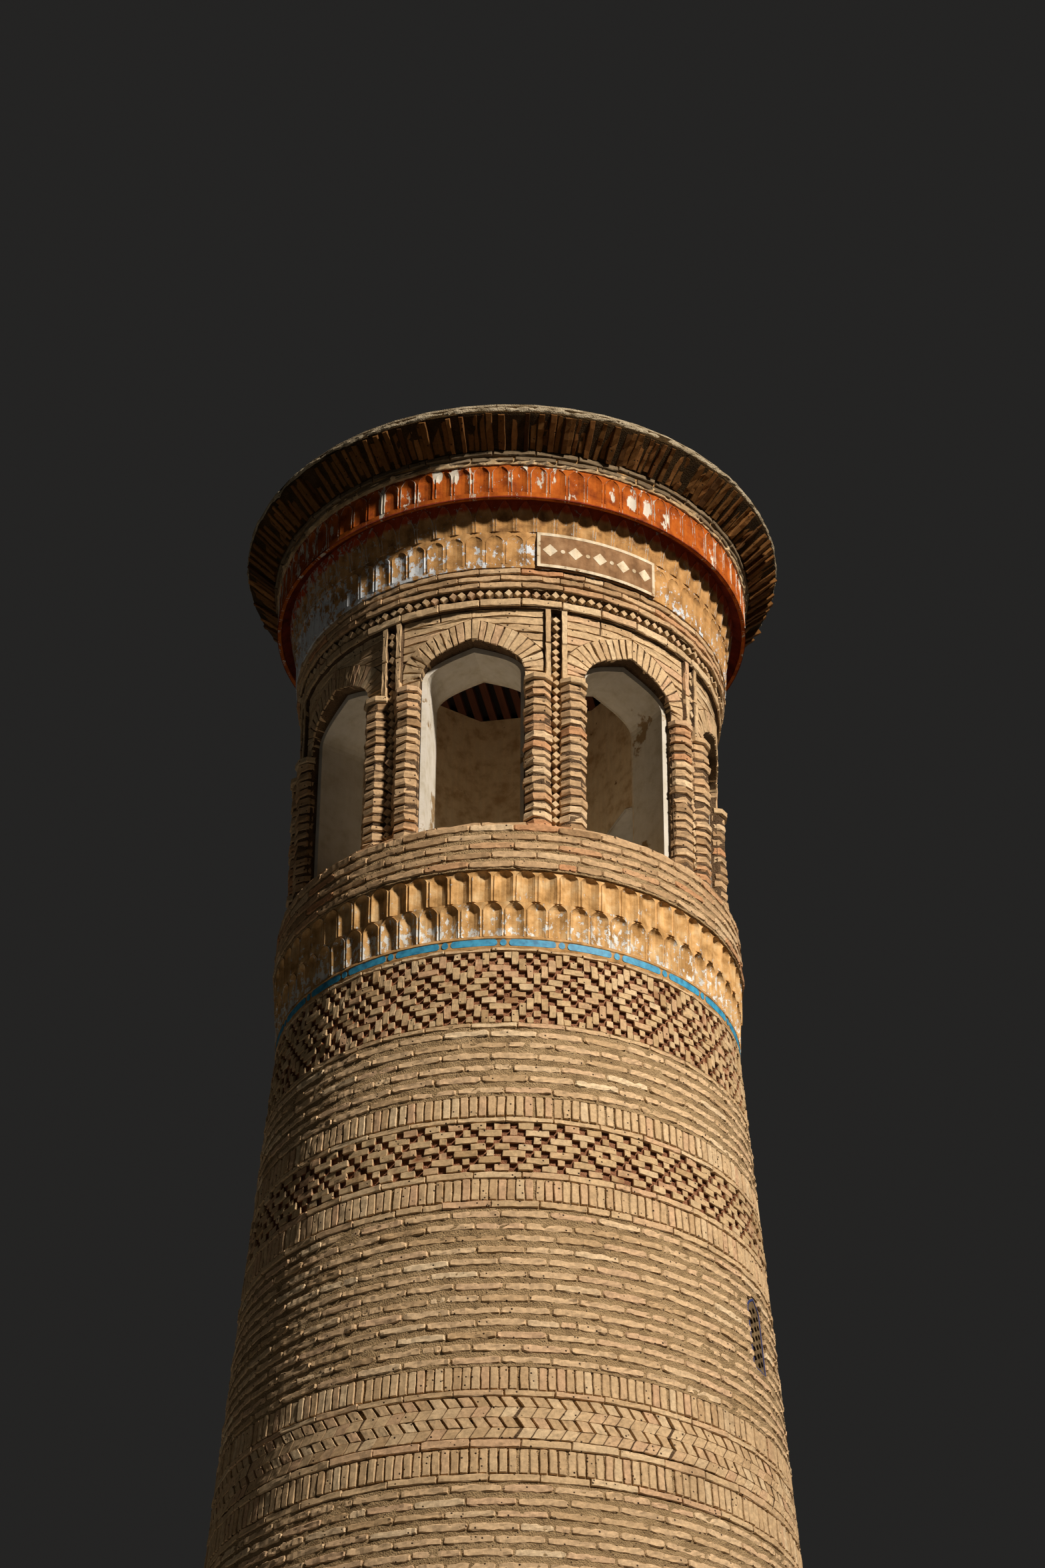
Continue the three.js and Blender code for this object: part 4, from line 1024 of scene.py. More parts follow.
def niche_grid(foot, head, radius_at, depth, shoulder, apex, sill=0.0, rib=0.045, hooded=True, back=0.07,
               ridge=0.006, foot_depth=0.7, bulge=0.62, painted_from=NEVER):
    """One hollow between two half ribs as a closed grid, over a flat sill. Columns follow its outline up to
    the apex, and the hollow gets deeper from its foot to the hood. The second paint covers the flat part
    over the hollow, and everything above painted_from."""
    hollow_foot = foot + sill
    widest = 0.5 - rib

    def profile(height, flat=False):
        rise = min(1.0, max(0.0, (height - shoulder) / (apex - shoulder)))
        half = widest * (1 - rise ** 1.5) ** bulge
        face = radius_at(height)
        climbed = min(1.0, max(0.0, (height - hollow_foot) / (shoulder - hollow_foot)))
        deep = depth * (foot_depth + (1 - foot_depth) * climbed)
        deep *= 1 - rise ** 3 if hooded else half / widest
        over = 1.0 if height > max(shoulder - 0.001, painted_from - 0.03) else 0.0
        inside = 1.0 if height > painted_from else 0.0
        no_hollow = flat or half < 0.001
        row = [(0.0, face - ridge, height, 0.0, over)]
        for t in ACROSS:
            back_by = 0.0 if abs(t) == RIDGE_CREST else ridge
            if abs(t) <= RIDGE_INNER:
                back_by = ridge * 0.6 + (deep - ridge * 0.6) * (1 - (abs(t) / RIDGE_INNER) ** 1.8)
            if no_hollow:
                back_by = ridge
            crest = 1.0 if abs(t) == RIDGE_CREST else 0.0
            second_paint = over if no_hollow or abs(t) == 1.0 else inside
            row.append((0.5 + t * half, face - max(0.0, back_by), height, crest, second_paint))
        return row + [(1.0, face - ridge, height, 0.0, over)]

    def behind(height):
        return [(point[0], radius_at(height) - back, height) for point in profile(height)]

    heights = [hollow_foot + (shoulder - hollow_foot) * i / 3 for i in range(4)]
    heights += [shoulder + (apex - shoulder) * share for share in HOOD_LEVELS]
    rows = [behind(foot)]
    if sill:
        rows += [profile(foot, flat=True), profile(hollow_foot - 0.001, flat=True)]
    rows += [profile(height) for height in heights]
    if head > apex:
        rows.append(profile(head, flat=True))
    return rows + [behind(head)]


def slope(foot, head, foot_radius, head_radius):
    """The radius as a straight line between two heights."""
    return lambda height: foot_radius + (head_radius - foot_radius) * (height - foot) / (head - foot)


niche_foot = strip_head
niche_middle = low("lower_niches_top")
niche_head = low("sill_ring")
lower_ochre = plaster("flaking_ochre_plaster_low", "#CB9F66", "#DDBD8C", "#A07845", "#DCDBD4",
                      flake_share=0.355, low_edge=niche_foot, high_edge=niche_foot + 0.3, flake_size=29.5,
                      weather_side=0.05, crest_wear=0.05, flake_stretch=1.6, streaky=0.24)
bottom_face = slope(niche_foot, niche_middle, foot_radius=1.350, head_radius=1.357)
bottom_niche = niche_grid(niche_foot, niche_middle, bottom_face, depth=0.028, shoulder=niche_foot + 0.170,
                          apex=niche_middle - 0.004, foot_depth=0.6)
ring_of("niches_bottom", [bottom_niche], NICHES, TILE_PHASE, lower_ochre, seed=71,
        swell=0.008, stands_for=("lower_niches_bottom",))
second_face = slope(niche_middle, niche_head, foot_radius=1.364, head_radius=1.368)
second_niche = niche_grid(niche_middle, niche_head, second_face, depth=0.030, shoulder=niche_middle + 0.162,
                          apex=niche_head - 0.002)
ring_of("niches_second", [second_niche], NICHES, TILE_PHASE + NICHE_PITCH / 2, lower_ochre,
        seed=72, swell=0.008, stands_for=("lower_niches_top",))


# Sill of the lantern: five courses of plain old brick in coarse mortar that has washed out of the joints.
# The top one is a worn coping of thin bricks, laid flat to throw off the rain.
SILL_COURSES = 5
sill_foot = low("sill_ring")
sill_head = high("sill_ring")
sill_rise = (sill_head - sill_foot) / SILL_COURSES
sill_face = slope(sill_foot, sill_head, foot_radius=1.380, head_radius=1.361)
old_brick = fired_brick("weathered_fired_brick", "#D8BC95", "#C3A27A", "#9A7A56", "#C08C62", grime_share=0.4)
placed = []
for i in range(SILL_COURSES):
    height = sill_foot + (i + 0.5) * sill_rise
    placed += course(height, sill_face(height), shift=0.5 * (i % 2) + 0.1, tall=1.06, end_joint=0.002)
laid("sill_bricks", near_shape, placed, old_brick, seed=81, wear=0.011, chips=0.010)
coping_shape = brick_shape("coping_brick", BRICK_LENGTH, tall=0.03, deep=0.1, along=7, up=1)
placed = course(sill_head - 0.010, 1.355, shift=0.35)
laid("sill_coping", coping_shape, placed, old_brick, seed=82, wear=0.014, chips=0.016)
mortar_skin("sill_mortar", sill_foot, sill_head - 0.02, seed=83, recess=0.006, radius_at=sill_face,
            rough=0.016)


# Arcade: eight piers with paired three-faced brick columns, and eight pointed arches of bricks on edge
# between them. The bricks were cut to shape. A line of small turned cubes runs up each pier, and over the
# columns between thin upright strips.
BAYS = 8
BAY = 360 / BAYS
# Half widths are taken from a bay's middle, and faces and backs from the tower's axis
ARCH_HALF = 0.310
ARCH_RISE = 0.220
ARCH_SPRINGING = low("arch_1")
ARCADE_HEAD = high("arch_1")
ARCADE_FACE = 1.266
FRAME_FACE = 1.290
REVEAL_BACK = 1.176
STRIP_EDGE = 0.4205
STRIP_NEAR = 0.034
STRIP_FAR = 0.064
STRIP_PARTS = 2
VOUSSOIRS = 11
VOUSSOIR_JOINT = 0.09
SPANDREL_COURSE = 0.0555
SPANDREL_JOINT = 0.008
CAPITAL_FOOT = 14.100
CAPITAL_HEAD = 14.142
EDGE_STEP = 0.05


class CutBricks:
    """Bricks cut to any outline in one bay's own flat frame: x along the wall, y outwards and z up."""

    def __init__(self, name, seed):
        self.name = name
        self.luck = random.Random(seed)
        self.shape = bmesh.new()
        self.tone = self.shape.verts.layers.float.new("tone")

    def add(self, azimuth, outline, face_at, back, side=1, chamfer=0.004, wear=0.0026):
        """One brick: a fan of faces in front, a chamfer, sides and a flat back. Side -1 mirrors it."""
        if side < 0:
            outline = [(-x, z) for x, z in reversed(outline)]
        along = []
        for (x0, z0), (x1, z1) in zip(outline, outline[1:] + outline[:1]):
            steps = max(1, round(math.hypot(x1 - x0, z1 - z0) / EDGE_STEP))
            along += [(x0 + (x1 - x0) * i / steps, z0 + (z1 - z0) * i / steps) for i in range(steps)]
        count = len(along)
        centre_x = sum(x for x, z in along) / count
        centre_z = sum(z for x, z in along) / count
        stands_out = self.luck.uniform(-0.002, 0.002)
        turned = Matrix.Rotation(math.radians(azimuth), 4, "Z")
        tone = self.luck.random()

        def vertex(x, y, z, worn=True):
            shift = [self.luck.uniform(-1, 1) * wear if worn else 0.0 for _ in range(3)]
            made = self.shape.verts.new(turned @ Vector((x + shift[0], -(y + shift[1]), z + shift[2])))
            made[self.tone] = tone
            return made

        def front_y(x, z):
            return math.sqrt(face_at(z) ** 2 - x * x) + stands_out

        front, rim, rear = [], [], []
        for x, z in along:
            pull = max(0.0, 1 - chamfer / math.hypot(x - centre_x, z - centre_z))
            inner_x, inner_z = centre_x + (x - centre_x) * pull, centre_z + (z - centre_z) * pull
            front.append(vertex(inner_x, front_y(inner_x, inner_z), inner_z))
            rim.append(vertex(x, front_y(x, z) - chamfer, z))
            rear.append(vertex(x, back, z, worn=False))
        middle = vertex(centre_x, front_y(centre_x, centre_z), centre_z)
        for here, there in zip(front, front[1:] + front[:1]):
            self.shape.faces.new((middle, here, there))
        joined(self.shape, rim, front)
        joined(self.shape, rear, rim)
        self.shape.faces.new(rear)

    def done(self, material):
        """All the bricks as one piece."""
        keep(linked(self.name, closed_mesh(self.shape, self.name, material)))


def block(near, far, foot, head):
    """An upright rectangle's corners, counted round from its near foot."""
    return [(near, foot), (far, foot), (far, head), (near, head)]


def pointed_side(half, springing, rise, count=60):
    """The right side of a low four-centred arch, from the springing to the apex."""
    apex = springing + rise
    corners = ((half, springing), (half * 0.98, springing + rise * 0.5), (half * 0.45, apex - rise * 0.25),
               (0.0, apex))
    points = []
    for i in range(count + 1):
        t = i / count
        weights = ((1 - t) ** 3, 3 * t * (1 - t) ** 2, 3 * t * t * (1 - t), t ** 3)
        points.append(tuple(sum(w * c[k] for w, c in zip(weights, corners)) for k in (0, 1)))
    return points


def arch_lines(half, springing, rise, thickness, limit):
    """The inner line of a brick arch's right side, the line of its bricks' far ends, and how far along the
    line midway between them each point lies."""
    inner = pointed_side(half, springing, rise)
    outer = []
    for i, (x, z) in enumerate(inner):
        before = inner[max(0, i - 1)]
        after = inner[min(len(inner) - 1, i + 1)]
        across = Vector((after[1] - before[1], before[0] - after[0])).normalized()
        share = (i / (len(inner) - 1)) ** 3
        across = (across * (1 - share) + Vector((0, 1)) * share).normalized()
        length = thickness if across.x < 0.01 else min(thickness, (limit - x) / across.x)
        outer.append((x + across.x * length, z + across.y * length))
    middles = [((x0 + x1) / 2, (z0 + z1) / 2) for (x0, z0), (x1, z1) in zip(inner, outer)]
    spent = [0.0]
    for here, there in zip(middles, middles[1:]):
        spent.append(spent[-1] + math.dist(here, there))
    return inner, outer, [s / spent[-1] for s in spent]


def at_share(line, shares, share):
    """The point on a line at a share of its length."""
    for i in range(len(shares) - 1):
        if share <= shares[i + 1] + 1e-9:
            t = (share - shares[i]) / (shares[i + 1] - shares[i])
            return tuple(line[i][k] + (line[i + 1][k] - line[i][k]) * t for k in (0, 1))
    return line[-1]


def arch_bricks(cut, azimuth, lines, count, face_at, back):
    """Bricks on edge round an arch, each a wedge from the inner line to the outer one."""
    inner, outer, shares = lines
    for side in (-1, 1):
        joints = [i + cut.luck.uniform(-0.14, 0.14) * (0 < i < count) for i in range(count + 1)]
        for joint, following in zip(joints, joints[1:]):
            a, b = (joint + VOUSSOIR_JOINT) / count, (following - VOUSSOIR_JOINT) / count
            corners = [at_share(inner, shares, a), at_share(outer, shares, a),
                       at_share(outer, shares, b), at_share(inner, shares, b)]
            cut.add(azimuth, corners, face_at, back, side)


arch = arch_lines(ARCH_HALF - 0.003, ARCH_SPRINGING + 0.002, ARCH_RISE, ARCH_BRICK, STRIP_EDGE)
arch_outside = arch[1]


def arch_edge(height):
    """How far from the bay's middle a spandrel course starts at a height."""
    if height <= ARCH_SPRINGING + 0.004:
        return ARCH_HALF + 0.002
    for (x0, z0), (x1, z1) in zip(arch_outside, arch_outside[1:]):
        if z0 <= height <= z1:
            return x0 + (x1 - x0) * (height - z0) / (z1 - z0) + 0.004
    return 0.0 if height > arch_outside[-1][1] else STRIP_EDGE


def spandrel(azimuth, side, foot, head):
    """One spandrel course beside an arch, of one brick or two, cut to the arch where it meets it."""
    near_low, near_high = arch_edge(foot), arch_edge(head)
    if min(near_low, near_high) > STRIP_EDGE - 0.02:
        return
    near_low, near_high = min(near_low, STRIP_EDGE - 0.004), min(near_high, STRIP_EDGE - 0.004)
    middle = STRIP_EDGE - 0.2 + spandrels.luck.uniform(-0.04, 0.04)
    spans = [(near_low, near_high, STRIP_EDGE)]
    if max(near_low, near_high) < middle - 0.06 and spandrels.luck.random() < 0.4:
        spans = [(near_low, near_high, middle - 0.004), (middle + 0.004, middle + 0.004, STRIP_EDGE)]
    for start_low, start_high, end in spans:
        corners = [(start_low, foot), (end, foot), (end, head), (start_high, head)]
        spandrels.add(azimuth, corners, lambda z: ARCADE_FACE - 0.002, 1.15, side)


arch_ring = CutBricks("arch_ring_bricks", seed=91)
spandrels = CutBricks("spandrel_bricks", seed=92)
strips = CutBricks("frame_strips", seed=93)
spandrel_rows = round((ARCADE_HEAD - CAPITAL_HEAD) / SPANDREL_COURSE)
spandrel_rise = (ARCADE_HEAD - CAPITAL_HEAD) / spandrel_rows
strip_rise = (ARCADE_HEAD - CAPITAL_HEAD) / STRIP_PARTS
for bay in range(BAYS):
    azimuth = bay * BAY
    arch_bricks(arch_ring, azimuth, arch, VOUSSOIRS, lambda z: ARCADE_FACE, REVEAL_BACK)
    for side in (-1, 1):
        for row in range(spandrel_rows):
            foot = CAPITAL_HEAD + row * spandrel_rise + SPANDREL_JOINT / 2
            spandrel(azimuth, side, foot, foot + spandrel_rise - SPANDREL_JOINT)
        for i in range(STRIP_PARTS):
            foot = CAPITAL_HEAD + strip_rise * i
            corners = block(STRIP_NEAR, STRIP_FAR, foot + 0.003, foot + strip_rise - 0.003)
            strips.add(azimuth + BAY / 2, corners, lambda z: FRAME_FACE, 1.25, side)
arch_ring.done(pale_brick)
spandrels.done(pale_brick)
strips.done(pale_brick)
# The piers and arches behind the bricks take the dark joint mortar: painted shade where they show between and
# under the bricks.
for bay in range(1, BAYS + 1):
    dress(joint_mortar_painted_shade, f"pier_{bay}", f"arch_{bay}")

COLUMN_COURSES = 17
COLUMN_FOOT = sill_head + 0.004
COLUMN_AZIMUTH = 4.7
COLUMN_HALF = 0.077
COLUMN_FACE_HALF = 0.034
COLUMN_BACK = 1.24
COLUMN_FACE = 1.3205
COLUMN_SHOULDER = 1.279
COLUMN_BEVEL = 0.006


def column_brick(name, tall, swell=0.0, front=0.0):
    """A three-faced brick seen in plan as half a hexagon, with its front face's middle at the origin."""
    shape = bmesh.new()
    side = COLUMN_HALF + swell
    half_plan = [(side, COLUMN_BACK), (side, COLUMN_SHOULDER + front),
                 (COLUMN_FACE_HALF, COLUMN_FACE + front)]
    plan = [(-x, y) for x, y in half_plan] + half_plan[::-1]
    levels = ((-tall / 2, COLUMN_BEVEL), (-tall / 2 + COLUMN_BEVEL, 0), (0, 0), (tall / 2 - COLUMN_BEVEL, 0),
              (tall / 2, COLUMN_BEVEL))
    loops = []
    for z, inset in levels:
        loops.append([shape.verts.new((x * (1 - inset / COLUMN_HALF), COLUMN_FACE - (y - inset), z))
                      for x, y in plan])
    for lower, upper in zip(loops, loops[1:]):
        joined(shape, lower, upper)
    shape.faces.new(loops[0])
    shape.faces.new(loops[-1])
    return closed_mesh(shape, name)


column_rise = (CAPITAL_FOOT - COLUMN_FOOT) / COLUMN_COURSES
column_places = [(pier + 0.5) * BAY + side * COLUMN_AZIMUTH for pier in range(BAYS) for side in (-1, 1)]
luck = random.Random(94)
placed = []
for azimuth in column_places:
    for i in range(COLUMN_COURSES):
        radius = COLUMN_FACE + luck.uniform(-0.004, 0.002)
        roll = luck.uniform(-1, 1)
        grow = (luck.uniform(0.96, 1.02), 1, luck.uniform(0.92, 1.03))
        placed.append(brick(azimuth, radius, COLUMN_FOOT + (i + 0.5) * column_rise, roll, grow=grow))
laid("column_bricks", column_brick("column_brick", tall=0.048), placed, old_brick, seed=95, wear=0.024,
     chips=0.024, unevenness=0.035)
capital_shape = column_brick("capital_brick", CAPITAL_HEAD - CAPITAL_FOOT, swell=0.006, front=0.012)
capital_middle = (CAPITAL_FOOT + CAPITAL_HEAD) / 2
placed = [brick(azimuth, COLUMN_FACE, capital_middle) for azimuth in column_places]
laid("capitals", capital_shape, placed, pale_brick, seed=96, wear=0.008, chips=0.012)

CUBE = 0.036
CUBE_PITCH = 0.0563
CUBE_FACE = 1.279
FIRST_CUBE = COLUMN_FOOT + 0.03
cube_shape = brick_shape("turned_cube", CUBE, CUBE, BRICK_DEEP, along=1, up=1, edge=0.003)
cubes = round((ARCADE_HEAD - FIRST_CUBE) / CUBE_PITCH)
placed = []
for pier in range(BAYS):
    for i in range(cubes):
        placed.append(brick((pier + 0.5) * BAY, CUBE_FACE, FIRST_CUBE + i * CUBE_PITCH, roll=45))
laid("pier_cubes", cube_shape, placed, pale_brick, seed=97, wear=0.010, chips=0.010, unevenness=0.06)


# Doorway at the back: a pointed arch of bricks on edge over jambs of header bricks, all set in clay mortar.
# The arch and the jambs are one brick deep, and lie flush with the shaft's face.
DOOR_VOUSSOIRS = 14
DOOR_BACK = 2.05
DOOR_FOOT = high("ground_floor")
NO_LIMIT = 9.0
doorway = CutBricks("doorway_bricks", seed=98)
door_arch = arch_lines(DOOR_HALF_WIDTH - 0.004, DOOR_SPRINGING, DOOR_RISE - 0.004, ARCH_BRICK - 0.008,
                       NO_LIMIT)
arch_bricks(doorway, DOOR_AZIMUTH, door_arch, DOOR_VOUSSOIRS, face_radius, DOOR_BACK)
jamb_courses = round((DOOR_SPRINGING - DOOR_FOOT) / COURSE)
jamb_rise = (DOOR_SPRINGING - DOOR_FOOT) / jamb_courses
for side in (-1, 1):
    for i in range(jamb_courses):
        foot = DOOR_FOOT + jamb_rise * i + 0.006
        far_end = DOOR_HALF_WIDTH + ARCH_BRICK - 0.012
        corners = block(DOOR_HALF_WIDTH - 0.004, far_end, foot, foot + BRICK_TALL)
        doorway.add(DOOR_AZIMUTH, corners, face_radius, DOOR_BACK, side)
doorway.done(buff_brick)


# Inside of the lantern: white gypsum plaster on the arches' reveals, with a crease at the crown, and older
# tan plaster on the eight inner sides, stained brown by smoke and rain below the ceiling.
ROOM_APOTHEM = 0.880
REVEAL_HALF = 0.285
REVEAL_RISE = 0.190
COAT = 0.006
white_plaster = plaster("white_gypsum_plaster", "#C8C1B2", "#CEC8BC", "#B9B09C", "#927A58", flake_share=0.36,
                        low_edge=12.9, high_edge=13.9, flake_size=385, streaky=0.04)
stained_plaster = plaster("smoke_stained_plaster", "#E0CBA6", "#E8D7B6", "#C0A178", "#9A7850",
                          flake_share=0.32, low_edge=13.0, high_edge=13.2, flake_size=143, streaky=0.06)


def pointed_outline(half, rise, count=10):
    """An arch's opening from its right foot over the apex to its left foot."""
    side = [(half, arch_foot)] + pointed_side(half, ARCH_SPRINGING, rise, count)
    return side + [(-x, z) for x, z in side[-2::-1]]


def in_each_bay(shape, outlines):
    """The points of equal (outline, distance) pairs, made once in every bay."""
    for bay in range(BAYS):
        turned = Matrix.Rotation(math.radians(bay * BAY), 4, "Z")
        yield [[shape.verts.new(turned @ Vector((x, -distance, z))) for x, z in outline]
               for outline, distance in outlines]


arch_foot = sill_head + 0.001
inner_line = pointed_outline(REVEAL_HALF - COAT, REVEAL_RISE - COAT)
wall_line = pointed_outline(REVEAL_HALF, REVEAL_RISE)
brick_line = pointed_outline(ARCH_HALF - 0.004, ARCH_RISE - 0.004)
reveal_lines = [(brick_line, REVEAL_BACK + 0.002), (inner_line, REVEAL_BACK - 0.004),
                (inner_line, ROOM_APOTHEM - 2 * COAT), (wall_line, ROOM_APOTHEM - 2 * COAT),
                (wall_line, REVEAL_BACK - 0.005), (brick_line, REVEAL_BACK - 0.004)]
reveals = bmesh.new()
for loops in in_each_bay(reveals, reveal_lines):
    for here, there in zip(loops, loops[1:] + loops[:1]):
        joined(reveals, here, there, closed=False)
    reveals.faces.new([loop[0] for loop in loops])
    reveals.faces.new([loop[-1] for loop in loops])
keep(linked("white_reveals", closed_mesh(reveals, "white_reveals", white_plaster)))

room_foot = high("lantern_floor")
room_head = low("ceiling")
room_half = ROOM_APOTHEM * math.tan(math.radians(BAY / 2)) - 0.001
# Half a side of the room: up the corner, along the ceiling, and down round the arch's hole
half_side = [(0.0, room_foot), (room_half, room_foot), (room_half, room_head), (0.0, room_head)]
half_side += inner_line[len(inner_line) // 2::-1] + [(0.0, arch_foot)]
lining = bmesh.new()
for side in (-1, 1):
    outline = [(side * x, z) for x, z in half_side]
    faces = [(outline, ROOM_APOTHEM - COAT), (outline, ROOM_APOTHEM - 0.0005)]
    for front, back in in_each_bay(lining, faces):
        lining.faces.new(front)
        lining.faces.new(back[::-1])
        joined(lining, front, back)
keep(linked("room_plaster", closed_mesh(lining, "room_plaster", stained_plaster)))


# Cornice: a thin raised course over the arcade, a recessed line of small turned cubes, then three plain thin
# courses. The cubes were cut from brick and set on their corners in mortar, like a row of teeth.
RING_STRIP_LENGTH = 0.24
RING_STRIP_HEAD = ARCADE_HEAD + 0.061
DOGTOOTH_HEAD = high("dogtooth_course") - 0.014
DOGTOOTH_FACE = 1.300
DOGTOOTH_CUBES = 147
CORNICE_COURSES = 3
ring_strip_shape = brick_shape("ring_strip_brick", RING_STRIP_LENGTH, tall=0.052, deep=BRICK_DEEP, along=7)
ring_strip_middle = (ARCADE_HEAD + RING_STRIP_HEAD) / 2
placed = course(ring_strip_middle, FRAME_FACE + 0.002, shift=0.2, length=RING_STRIP_LENGTH)
laid("raised_course", ring_strip_shape, placed, pale_brick, seed=101, wear=0.010, chips=0.012)
dogtooth_middle = (RING_STRIP_HEAD + DOGTOOTH_HEAD) / 2
placed = [brick(i * 360 / DOGTOOTH_CUBES, DOGTOOTH_FACE, dogtooth_middle, roll=45)
          for i in range(DOGTOOTH_CUBES)]
laid("dogtooth_cubes", cube_shape, placed, pale_brick, seed=102, wear=0.010, chips=0.010, unevenness=0.06)
# The recess behind the cubes takes the dark joint mortar, as painted shade.
dress(joint_mortar_painted_shade, "dogtooth_course")
cornice_foot = DOGTOOTH_HEAD + 0.003
cornice_head = high("brick_cornice")
cornice_rise = (cornice_head - cornice_foot) / CORNICE_COURSES
cornice_face = slope(cornice_foot, cornice_head, foot_radius=1.310, head_radius=1.322)
cornice_shape = brick_shape("cornice_brick", BRICK_LENGTH, tall=0.040, deep=BRICK_DEEP, along=8, rounding=0.1)
placed = []
for i in range(CORNICE_COURSES):
    height = cornice_foot + (i + 0.5) * cornice_rise
    placed += course(height, cornice_face(height), shift=0.5 * i + 0.2, end_joint=0.003)
laid("cornice_bricks", cornice_shape, placed, old_brick, seed=103, wear=0.008, chips=0.016)
mortar_skin("cornice_mortar", cornice_foot, cornice_head, seed=104, recess=0.010, radius_at=cornice_face,
            rough=0.016)


# Upper niches: two tiers in ochre plaster, the lower one broken by a flat brown panel.
# The heads of the top tier lean out under the red frieze and are painted dark red.
# The hoods' red is lighter than their real dark red paint: painted light for what reaches them in the shade
# under the frieze.
HOOD_RED_WITH_PAINTED_LIGHT = "#B04A22"
UPPER_NICHE_PHASE = 11.3
upper_foot = low("upper_niches_bottom")
upper_middle = low("upper_niches_top")
upper_head = high("upper_niches_top")
# The flakes are pale gypsum with a blue-grey tint, which is painted sky light in the shade.
upper_ochre = plaster("flaking_ochre_plaster_high", "#B98B54", "#CDA26C", "#8E683E", "#D2D7DA",
                      flake_share=0.385, low_edge=upper_foot, high_edge=upper_foot + 0.22, flake_size=38,
                      weather_side=0.14, crest_wear=0.06, foot_wear=0.10, flake_stretch=1.5)
hooded_ochre = plaster("ochre_plaster_with_dark_red_hoods", "#B98B54", "#CDA26C", "#7E5A34", "#BDB4A6",
                       flake_share=0.36, low_edge=upper_foot, high_edge=upper_foot + 0.2, flake_size=33,
                       weather_side=0.15, crest_wear=0.22, over_paint=HOOD_RED_WITH_PAINTED_LIGHT)
third_face = slope(upper_foot, upper_middle, foot_radius=1.330, head_radius=1.340)
third_niche = niche_grid(upper_foot, upper_middle, third_face, depth=0.012, shoulder=upper_middle - 0.066,
                         apex=upper_middle - 0.026, sill=0.026, rib=0.06, hooded=False, ridge=0.004)
ring_of("niches_third", [third_niche], NICHES, UPPER_NICHE_PHASE - NICHE_PITCH / 2, upper_ochre,
        rough=0.0025, seed=111, swell=0.006, stands_for=("upper_niches_bottom",))
top_face = slope(upper_middle, upper_head, foot_radius=1.346, head_radius=1.385)
top_niche = niche_grid(upper_middle, upper_head, top_face, depth=0.019, shoulder=upper_middle + 0.087,
                       apex=upper_middle + 0.203, rib=0.04, ridge=0.003, bulge=0.85,
                       painted_from=upper_middle + 0.155)
ring_of("niches_top", [top_niche], NICHES, UPPER_NICHE_PHASE, hooded_ochre, seed=112,
        swell=0.006, stands_for=("upper_niches_top",))


# Panel: a flat field of brown-painted plaster in the third tier, with a whitish border painted round it.
# In the field is a plain row of lozenges and dots in the same whitish paint, brushed on over the brown.
PANEL_START = 17.0
PANEL_END = 50.1
PANEL_FOOT = low("plain_panel") + 0.004
PANEL_HEAD = high("plain_panel") - 0.001
PANEL_FACE = 1.3430
PANEL_BACK = 1.3100
PANEL_PARTS = 24
BORDER = 0.020
PAINT = 0.0012
PAINT_KEY = -0.004
LOZENGES = 5
LOZENGE_HALF = 0.045
DOT_RADIUS = 0.014
DOT_SIDES = 8
brown_plaster = plaster("brown_painted_plaster", "#8A6746", "#9F7C59", "#6B4C30", "#C9B798", flake_share=0.24,
                        low_edge=14.8, high_edge=15.2)
panel_white = plaster("white_painted_border", "#D3C2A4", "#E0D3BA", "#B39B78", "#8A6746", flake_share=0.3,
                      low_edge=14.8, high_edge=15.2)
dress(brown_plaster, "plain_panel")


def along_panel(share):
    """The azimuth at a share of the panel's width."""
    return PANEL_START + share * (PANEL_END - PANEL_START)


ground = bmesh.new()
corners = block(PANEL_FACE, PANEL_BACK, PANEL_FOOT, PANEL_HEAD)
loops = []
for i in range(PANEL_PARTS + 1):
    loops.append([ground.verts.new(at(along_panel(i / PANEL_PARTS), radius, z)) for radius, z in corners])
for here, there in zip(loops, loops[1:]):
    joined(ground, here, there)
ground.faces.new(loops[0])
ground.faces.new(loops[-1])
keep(linked("panel_ground", closed_mesh(ground, "panel_ground", brown_plaster)))

painting = bmesh.new()


def painted(azimuth, outline):
    """A flat painted shape on the panel: outline points are (x, z) from the shape's own middle."""
    front, back = [[painting.verts.new(at(azimuth + math.degrees(x / PANEL_FACE), PANEL_FACE + lift, z))
                    for x, z in outline] for lift in (PAINT, PAINT_KEY)]
    painting.faces.new(front)
    painting.faces.new(back[::-1])
    joined(painting, front, back)


border_half = math.radians(PANEL_END - PANEL_START) * PANEL_FACE / PANEL_PARTS / 2
for i in range(PANEL_PARTS):
    for foot, head in ((PANEL_FOOT, PANEL_FOOT + BORDER), (PANEL_HEAD - BORDER, PANEL_HEAD)):
        painted(along_panel((i + 0.5) / PANEL_PARTS), block(-border_half, border_half, foot, head))
painted(PANEL_START, block(0.0, BORDER, PANEL_FOOT, PANEL_HEAD))
painted(PANEL_END, block(-BORDER, 0.0, PANEL_FOOT, PANEL_HEAD))
panel_middle = (PANEL_FOOT + PANEL_HEAD) / 2
lozenge = [(-LOZENGE_HALF, panel_middle), (0, panel_middle - LOZENGE_HALF), (LOZENGE_HALF, panel_middle),
           (0, panel_middle + LOZENGE_HALF)]
dot_turns = [2 * math.pi * i / DOT_SIDES for i in range(DOT_SIDES)]
round_dot = [(DOT_RADIUS * math.cos(a), panel_middle + DOT_RADIUS * math.sin(a)) for a in dot_turns]
for i in range(LOZENGES):
    painted(along_panel((i + 0.5) / LOZENGES), lozenge)
for i in range(1, LOZENGES):
    painted(along_panel(i / LOZENGES), round_dot)
keep(linked("panel_painting", closed_mesh(painting, "panel_painting", panel_white)))


